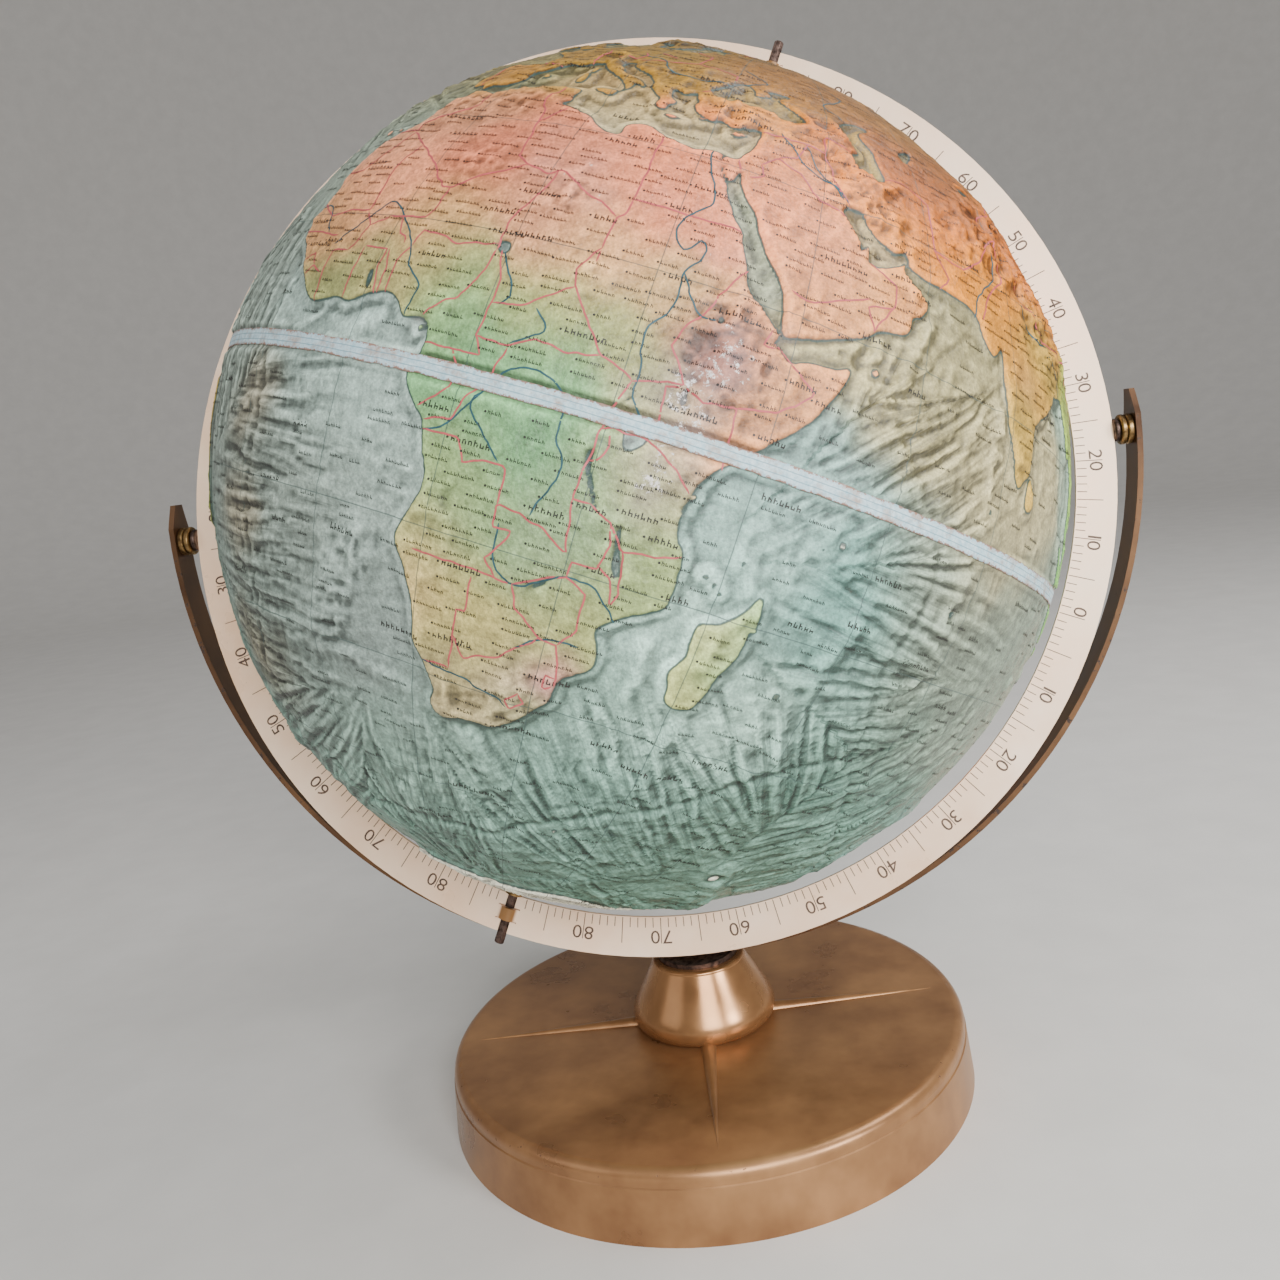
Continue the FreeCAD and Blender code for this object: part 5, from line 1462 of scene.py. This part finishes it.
    def small_print(self) -> bpy.types.Object:
        """Town dots, each beside a row of strokes too small to read, scattered over the land.

        Random places are kept where they are on land, off the tape and away from each other. A dot
        is a six-sided disc. A row has four to eight marks laid along the parallel to the right of the
        dot, each of a tall stem, a bar and a short stem at random heights, so that none is a letter.

        Returns:
            The new piece.
        """
        random = np.random.default_rng(self.seed)
        lat = np.degrees(np.arcsin(random.uniform(-0.95, 0.98, self.tries)))
        lon = random.uniform(-180, 180, self.tries)
        coast = self.grid.sample(self.grid.coast, lat, lon)
        town = coast > 1.0
        at_sea = (coast < -3.0) & (random.uniform(0, 1, self.tries) < self.sea_share)
        wanted = (town | at_sea) & (np.abs(lat) > self.tape_clear)
        rows = np.stack([lat, lon, town], axis=1)[wanted]
        flat = np.radians(rows[:, :2]) * self.grid.radius_mm
        kept: list[int] = []
        for number, here in enumerate(flat):
            off = np.abs(flat[kept] - here)
            across = off[:, 1] * math.cos(math.radians(rows[number, 0]))
            if not ((off[:, 0] < self.row_gap_mm) & (across < self.name_gap_mm)).any():
                kept.append(number)
        places = rows[kept]
        offsets, owner, faces, count = [], [], [], 0
        corner = np.radians(np.arange(0, 360, 60))
        disc = np.stack([np.cos(corner), np.sin(corner)], axis=1) * self.town_mm
        for number, (_, _, town) in enumerate(places):
            if town:
                offsets.append(disc)
                owner.append(np.full(6, number))
                faces.append(count + np.array([[0, 1, 2, 3], [0, 3, 4, 5]]))
                count += 6
            letters = int(random.integers(4, 9))
            size = self.bold_mm if random.uniform() < self.bold_share else self.letter_mm
            start = self.first_mark + self.pitch * np.arange(letters)
            tall = random.uniform(0.55, 1.0, letters)
            level = random.uniform(0.0, 0.5, letters)
            short = random.uniform(0.3, 0.6, letters)
            ground = 0 * start
            block = np.stack([self.boxes(start, self.stroke, ground, tall),
                              self.boxes(start + self.stroke, self.bar, level, level + self.stroke),
                              self.boxes(start + self.short_stem, self.stroke, ground, short)]).reshape(-1, 2)
            offsets.append((block - [0, self.foot]) * size)
            owner.append(np.full(len(block), number))
            faces.append(count + np.arange(len(block)).reshape(-1, 4))
            count += len(block)
        shift, owner_row = np.vstack(offsets), np.concatenate(owner)
        base = places[owner_row]
        scale = math.degrees(1 / self.grid.radius_mm)
        lat_all = base[:, 0] + shift[:, 1] * scale
        lon_all = base[:, 1] + shift[:, 0] * scale / np.cos(np.radians(base[:, 0]))
        places_on_skin = self.on_skin(lat_all, lon_all)
        return new_mesh("town_marks", places_on_skin, np.vstack(faces).tolist(), "globe")


@dataclass
class EquatorTape:
    """Paper tape over the joint: a thin band with frayed, lifting edges and printed lines."""

    frame: GlobeFrame
    finish: PaperTape = field(default_factory=PaperTape)
    half_width_mm: float = 2.5
    lift_mm: float = 0.42
    under_mm: float = 0.02
    nibble: float = 0.16
    curl_mm: float = 0.12
    wrinkle_mm: float = 0.04
    around: int = 1440
    across: int = 11

    def build(self) -> None:
        """Make the band and its finish.

        Around the equator the band is a closed strip whose profile goes out over the top face and
        back under it. Noise nibbles its two edges and lifts them.
        """
        turn = np.linspace(0, 360, self.around, endpoint=False)
        share = np.linspace(-1, 1, self.across)
        ring = directions(np.zeros(self.around), turn)
        nibbles = [1 - self.nibble * np.clip(fractal(ring * 46, 4, seed), -0.2, 1) for seed in (61, 62)]
        curls = [self.curl_mm * np.clip(fractal(ring * 22, 3, seed), 0, 1) for seed in (63, 64)]
        upper = share[None, :] > 0
        reach = np.where(upper, nibbles[0][:, None], nibbles[1][:, None]) * share[None, :]
        lift = np.where(upper, curls[0][:, None], curls[1][:, None]) * np.abs(share[None, :]) ** 4
        creases = fractal(np.repeat(ring * 40, self.across, axis=0), 3, 65).reshape(self.around, -1)
        top = self.lift_mm + lift + self.wrinkle_mm * creases
        lat = np.degrees(reach * self.half_width_mm * MM / self.frame.radius)
        lon = np.repeat(turn[:, None], self.across, axis=1)
        unit = directions(lat.ravel(), lon.ravel())
        outer = self.frame.place(unit, self.frame.radius + top.ravel() * MM)
        inner = self.frame.place(unit, self.frame.radius + self.under_mm * MM)
        count = self.around * self.across
        index = np.arange(count).reshape(self.around, self.across)
        loop = np.concatenate([index, index[:, ::-1] + count], axis=1)
        nearer, further = loop, np.roll(loop, -1, axis=0)
        beside, beyond = np.roll(nearer, -1, axis=1), np.roll(further, -1, axis=1)
        faces = np.stack([nearer, further, beyond, beside], axis=-1).reshape(-1, 4).tolist()
        piece = new_mesh("frayed_tape", np.vstack([outer, inner]), faces, "globe")
        store(piece.data, "tape_side", np.tile(share, 2 * self.around))
        piece.data.materials.append(self.finish.material())
        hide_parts("equator_tape")


@dataclass
class RingScale:
    """Degree ticks and numerals of the scale stamped into the ring's front face, drawn as thin dark films just in
    front of it; their dark colour is painted shade of the sunk marks.
    """

    frame: GlobeFrame
    inner_mm: float = 160.0
    half_thickness_mm: float = 0.9
    proud_mm: float = 0.02
    short_mm: float = 3.8
    long_mm: float = 9.6
    line_mm: float = 0.3
    figure_low_mm: float = 4.9
    figure_tall_mm: float = 4.8
    figure_gap_mm: float = 0.5
    tick_start_mm: float = 0.25
    figure_wide: float = 1.12
    latitudes: tuple[int, ...] = (10, 20, 30, 40, 50, 60, 70, 80)

    def build(self) -> None:
        """Make the ticks and the numerals."""
        # The marks' dark brown is painted shade, standing in for the shade inside the stamped ticks and figures.
        ink = PlainStock("dark_filled_engraving", "#60483a", "#3d2c22", 2.0, 0.6).material()
        self.ticks().data.materials.append(ink)
        self.numerals().data.materials.append(ink)

    def ticks(self) -> bpy.types.Object:
        """One thin box of lines for each degree, with a long one at each fifth.

        A line's four corners are at the inner edge and the line's length along its radius, half a
        line's width to each side.

        Returns:
            The new piece.
        """
        degree = np.arange(0, 360)
        degree = degree[np.abs(np.abs(degree - 180) - 90) > 1.5]
        length = np.where(degree % 5 == 0, self.long_mm, self.short_mm)
        angle = np.radians(degree)
        along = np.stack([np.full(len(degree), self.tick_start_mm), length], axis=1)
        corners = []
        for end, side in ((0, -1), (0, 1), (1, 1), (1, -1)):
            radius = (self.inner_mm + along[:, end]) * MM
            turn = angle + side * self.line_mm / 2 * MM / radius
            corners.append(self.frame.ring_place(turn, radius, self.forward()))
        points = np.stack(corners, axis=1).reshape(-1, 3)
        faces = np.arange(len(points)).reshape(-1, 4)[:, ::-1]
        return new_mesh("scale_ticks", points, faces.tolist(), "ring", False)

    def forward(self) -> float:
        """How far in front of the ring's middle plane the dark marks lie."""
        return (self.half_thickness_mm + self.proud_mm) * MM

    def figure(self, digit: str) -> tuple[np.ndarray, list[tuple[int, ...]]]:
        """Flat mesh of one digit from the built-in font, one unit tall and centred across.

        Args:
            digit: the digit.

        Returns:
            Flat points, and faces as tuples of vertex numbers.
        """
        text = bpy.data.curves.new("figure_" + digit, "FONT")
        text.body = digit
        text.resolution_u = 3
        holder = bpy.data.objects.new("figure_" + digit, text)
        bpy.context.scene.collection.objects.link(holder)
        bpy.context.view_layer.update()
        drawn = holder.evaluated_get(bpy.context.evaluated_depsgraph_get())
        mesh = bpy.data.meshes.new_from_object(drawn)
        points = np.zeros(len(mesh.vertices) * 3)
        mesh.vertices.foreach_get("co", points)
        points = points.reshape(-1, 3)[:, :2]
        low, high = points.min(0), points.max(0)
        points = (points - [(low[0] + high[0]) / 2, low[1]]) / (high[1] - low[1])
        faces = [tuple(face.vertices) for face in mesh.polygons]
        bpy.data.objects.remove(holder)
        bpy.data.curves.remove(text)
        bpy.data.meshes.remove(mesh)
        return points, faces

    def numerals(self) -> bpy.types.Object:
        """Figures at every ten degrees, one each side of the long tick, with their tops outwards.

        Returns:
            The new piece.
        """
        shapes = {digit: self.figure(digit) for digit in "012345678"}
        points, faces, count = [], [], 0
        for latitude in (0, *self.latitudes):
            for degree in sorted({latitude, 180 - latitude, -latitude, 180 + latitude}):
                pair = ((str(latitude // 10), -1), ("0", 1)) if latitude else (("0", -1),)
                for digit, side in pair:
                    shape, outline = shapes[digit]
                    across = shape[:, 0] * self.figure_tall_mm * self.figure_wide
                    across = across + side * (self.figure_gap_mm + np.ptp(across) / 2)
                    radius = (self.inner_mm + self.figure_low_mm + shape[:, 1] * self.figure_tall_mm) * MM
                    angle = math.radians(degree) - across * MM / radius
                    points.append(self.frame.ring_place(angle, radius, self.forward()))
                    faces += [tuple(count + corner for corner in face) for face in outline]
                    count += len(shape)
        return new_mesh("scale_numerals", np.vstack(points), faces, "ring", False)


@dataclass
class StandFinishes:
    """Finishes of the CAD pieces, by node."""

    nodes: dict[str, bpy.types.Object]
    frame: GlobeFrame
    bow_half_width_mm: float = 6.35
    rim_drop_mm: float = 3.0
    base_flare_mm: float = 1.7

    def finishes(self) -> dict[Finish, LacqueredSteel | BareMetal | PlainStock]:
        """Every finish with its real scales.

        Returns:
            The finish objects by kind.
        """
        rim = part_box("base_shell")[1]
        centre, face = tuple(self.frame.centre), tuple(self.frame.face)
        return {
            Finish.BASE: LacqueredSteel("bronze_lacquer_on_stamped_steel", "#b08358", "#80593a", metallic=0.55,
                                        roughness=0.3, rim_height=rim.z - self.rim_drop_mm * MM,
                                        rim_radius=rim.x - self.base_flare_mm * MM, speck_amount=0.1),
            Finish.HUB: LacqueredSteel("bronze_lacquer_on_spun_steel", "#b98a5e", "#8f6642", metallic=0.7,
                                       roughness=0.24, speck_amount=0.0),
            # The bow's lacquer and rust are darker than the same bronze lacquer on the base and hub: painted
            # shade of its shaded inner face.
            Finish.BOW: LacqueredSteel("bronze_lacquer_on_rolled_strip_darkened_as_painted_shade", "#7c5b3f", "#523a2a", rust="#33231a",
                                       metallic=0.7, roughness=0.34, speck_amount=0.5,
                                       strip_edge=self.bow_half_width_mm * MM),
            Finish.RING: LacqueredSteel("champagne_lacquer_on_sheet_steel", "#fbdfc4", "#f2cba8", rust="#7d5a3e",
                                        metallic=0.12, roughness=0.3, speck_mm=1.8, speck_amount=0.15,
                                        loop_centre=centre, loop_normal=face),
            Finish.BRASS: BareMetal("tarnished_turned_brass", "#a5875a", "#4f3b26", 0.34),
            Finish.STEEL: BareMetal("oil_blackened_steel", "#6d5a52", "#2b2320", 0.38),
            Finish.ZINC: BareMetal("dull_zinc_plate", "#a9a59e", "#5d554c", 0.36),
            Finish.BOARD: PlainStock("grey_board", "#a08866", "#7c6648", 1.4),
        }

    def dress(self) -> None:
        """Give each node its material in its own slots."""
        parts = {
            Finish.BASE: ["base_shell"],
            Finish.HUB: ["hub_cone"],
            Finish.BOW: ["bow"],
            Finish.RING: ["meridian_ring"],
            Finish.BRASS: ["pivot_bush_east", "pivot_bush_west", "pivot_washer_east", "pivot_washer_west",
                           "north_pole_spacer", "south_pole_spacer", "north_pole_bush", "south_pole_bush"],
            Finish.STEEL: ["bow_screw", "bow_saddle", "base_lock_washer", "pivot_stud_east", "pivot_stud_west",
                           "north_pole_pin", "south_pole_pin"],
            Finish.ZINC: ["bow_screw_washer", "base_nut"],
            Finish.BOARD: ["joint_strip"],
        }
        finishes = self.finishes()
        for kind, names in parts.items():
            material = finishes[kind].material()
            for name in names:
                for slot in self.nodes[name].material_slots:
                    slot.material = material
                log.info("%s: %s", name, material.name)


def studio() -> None:
    """Pale floor that sweeps up all round, soft lamps and a dim sky.

    The floor's profile is flat out to a radius, then a quarter circle, then a wall. It is carried
    round the vertical axis.
    """
    flat, bend, wall = 2.4, 1.4, 1.5
    quarter = np.radians(np.linspace(0, 90, 13))
    reach = np.concatenate([[0.001], flat + bend * np.sin(quarter), [flat + bend]])
    rise = np.concatenate([[0], bend * (1 - np.cos(quarter)), [bend + wall]])
    turn = np.radians(np.linspace(0, 360, 96, endpoint=False))
    points = np.stack([np.outer(reach, np.cos(turn)), np.outer(reach, np.sin(turn)),
                       np.outer(rise, np.ones_like(turn))], axis=-1).reshape(-1, 3)
    index = np.arange(len(reach) * len(turn)).reshape(len(reach), len(turn))
    beside = np.roll(index, -1, axis=1)
    faces = np.stack([index[:-1], index[1:], beside[1:], beside[:-1]], axis=-1).reshape(-1, 4)
    mesh = bpy.data.meshes.new("floor")
    mesh.from_pydata(points.tolist(), [], faces.tolist())
    mesh.shade_smooth()
    floor = bpy.data.objects.new("floor", mesh)
    bpy.context.scene.collection.objects.link(floor)
    mesh.materials.append(PlainStock("floor_paper", "#dedbd6", "#d8d5d0", 40.0, 0.9).material())
    world = bpy.data.worlds.new("studio")
    world.use_nodes = True
    world.node_tree.nodes["Background"].inputs["Color"].default_value = linear("#dcdde0")
    world.node_tree.nodes["Background"].inputs["Strength"].default_value = 0.55
    bpy.context.scene.world = world
    for name, spot, aim, size, power in (("front", (0.35, -1.35, 0.7), (0, 0, 0.2), 0.7, 21.0),
                                         ("side", (0.95, -0.8, 0.5), (0.05, 0, 0.15), 0.35, 11.0),
                                         ("fill", (-1.2, -0.8, 0.8), (0, 0, 0.3), 0.9, 3.0),
                                         ("top", (0.85, 0.05, 1.25), (0.05, 0, 0.1), 0.6, 9.0)):
        lamp = bpy.data.lights.new(name, "AREA")
        lamp.size = size
        lamp.energy = power
        holder = bpy.data.objects.new(name, lamp)
        holder.location = spot
        holder.rotation_euler = look_angles(np.array(aim) - np.array(spot))
        bpy.context.scene.collection.objects.link(holder)


def look_angles(way: np.ndarray) -> tuple[float, float, float]:
    """Euler angles that point an object's -Z along a direction."""
    return tuple(Vector(way).to_track_quat("-Z", "Y").to_euler())


def camera() -> None:
    """Camera close in front, a little to the right, with a short lens and a slight lean."""
    lens = bpy.data.cameras.new("camera")
    lens.lens = 32.74
    lens.sensor_width = 36.0
    lens.shift_x = -0.008
    lens.shift_y = -0.055
    holder = bpy.data.objects.new("camera", lens)
    yaw, pitch, lean = math.radians(-4.8), math.radians(6.05), math.radians(7.0)
    ahead = np.array([math.sin(yaw) * math.cos(pitch), math.cos(yaw) * math.cos(pitch), -math.sin(pitch)])
    level = np.array([math.cos(yaw), -math.sin(yaw), 0.0])
    down = np.cross(ahead, level)
    right = math.cos(lean) * level + math.sin(lean) * down
    up = np.cross(right, ahead)
    turn = Matrix(np.stack([right, up, -ahead], axis=1).tolist()).to_4x4()
    turn.translation = (0.0367, -0.4399, 0.2503)
    holder.matrix_world = turn
    bpy.context.scene.collection.objects.link(holder)
    bpy.context.scene.camera = holder


def main() -> None:
    """Build the object in order."""
    logging.basicConfig(level=logging.INFO, format="%(name)s: %(message)s", stream=sys.stdout)
    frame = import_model()
    joints = {joint["name"]: joint for joint in frame["joints"]}
    spin = joints["globe_spin"]
    place = GlobeFrame(np.array(spin["pos_m"]), np.array(spin["axis"]), GLOBE_RADIUS)
    grid = MapGrid(place)
    GlobeSkin(place, grid).build()
    PrintedLines(place, grid).build()
    EquatorTape(place).build()
    RingScale(place).build()
    StandFinishes(frame["nodes"], place).dress()
    studio()
    camera()


if __name__ == "__main__":
    main()
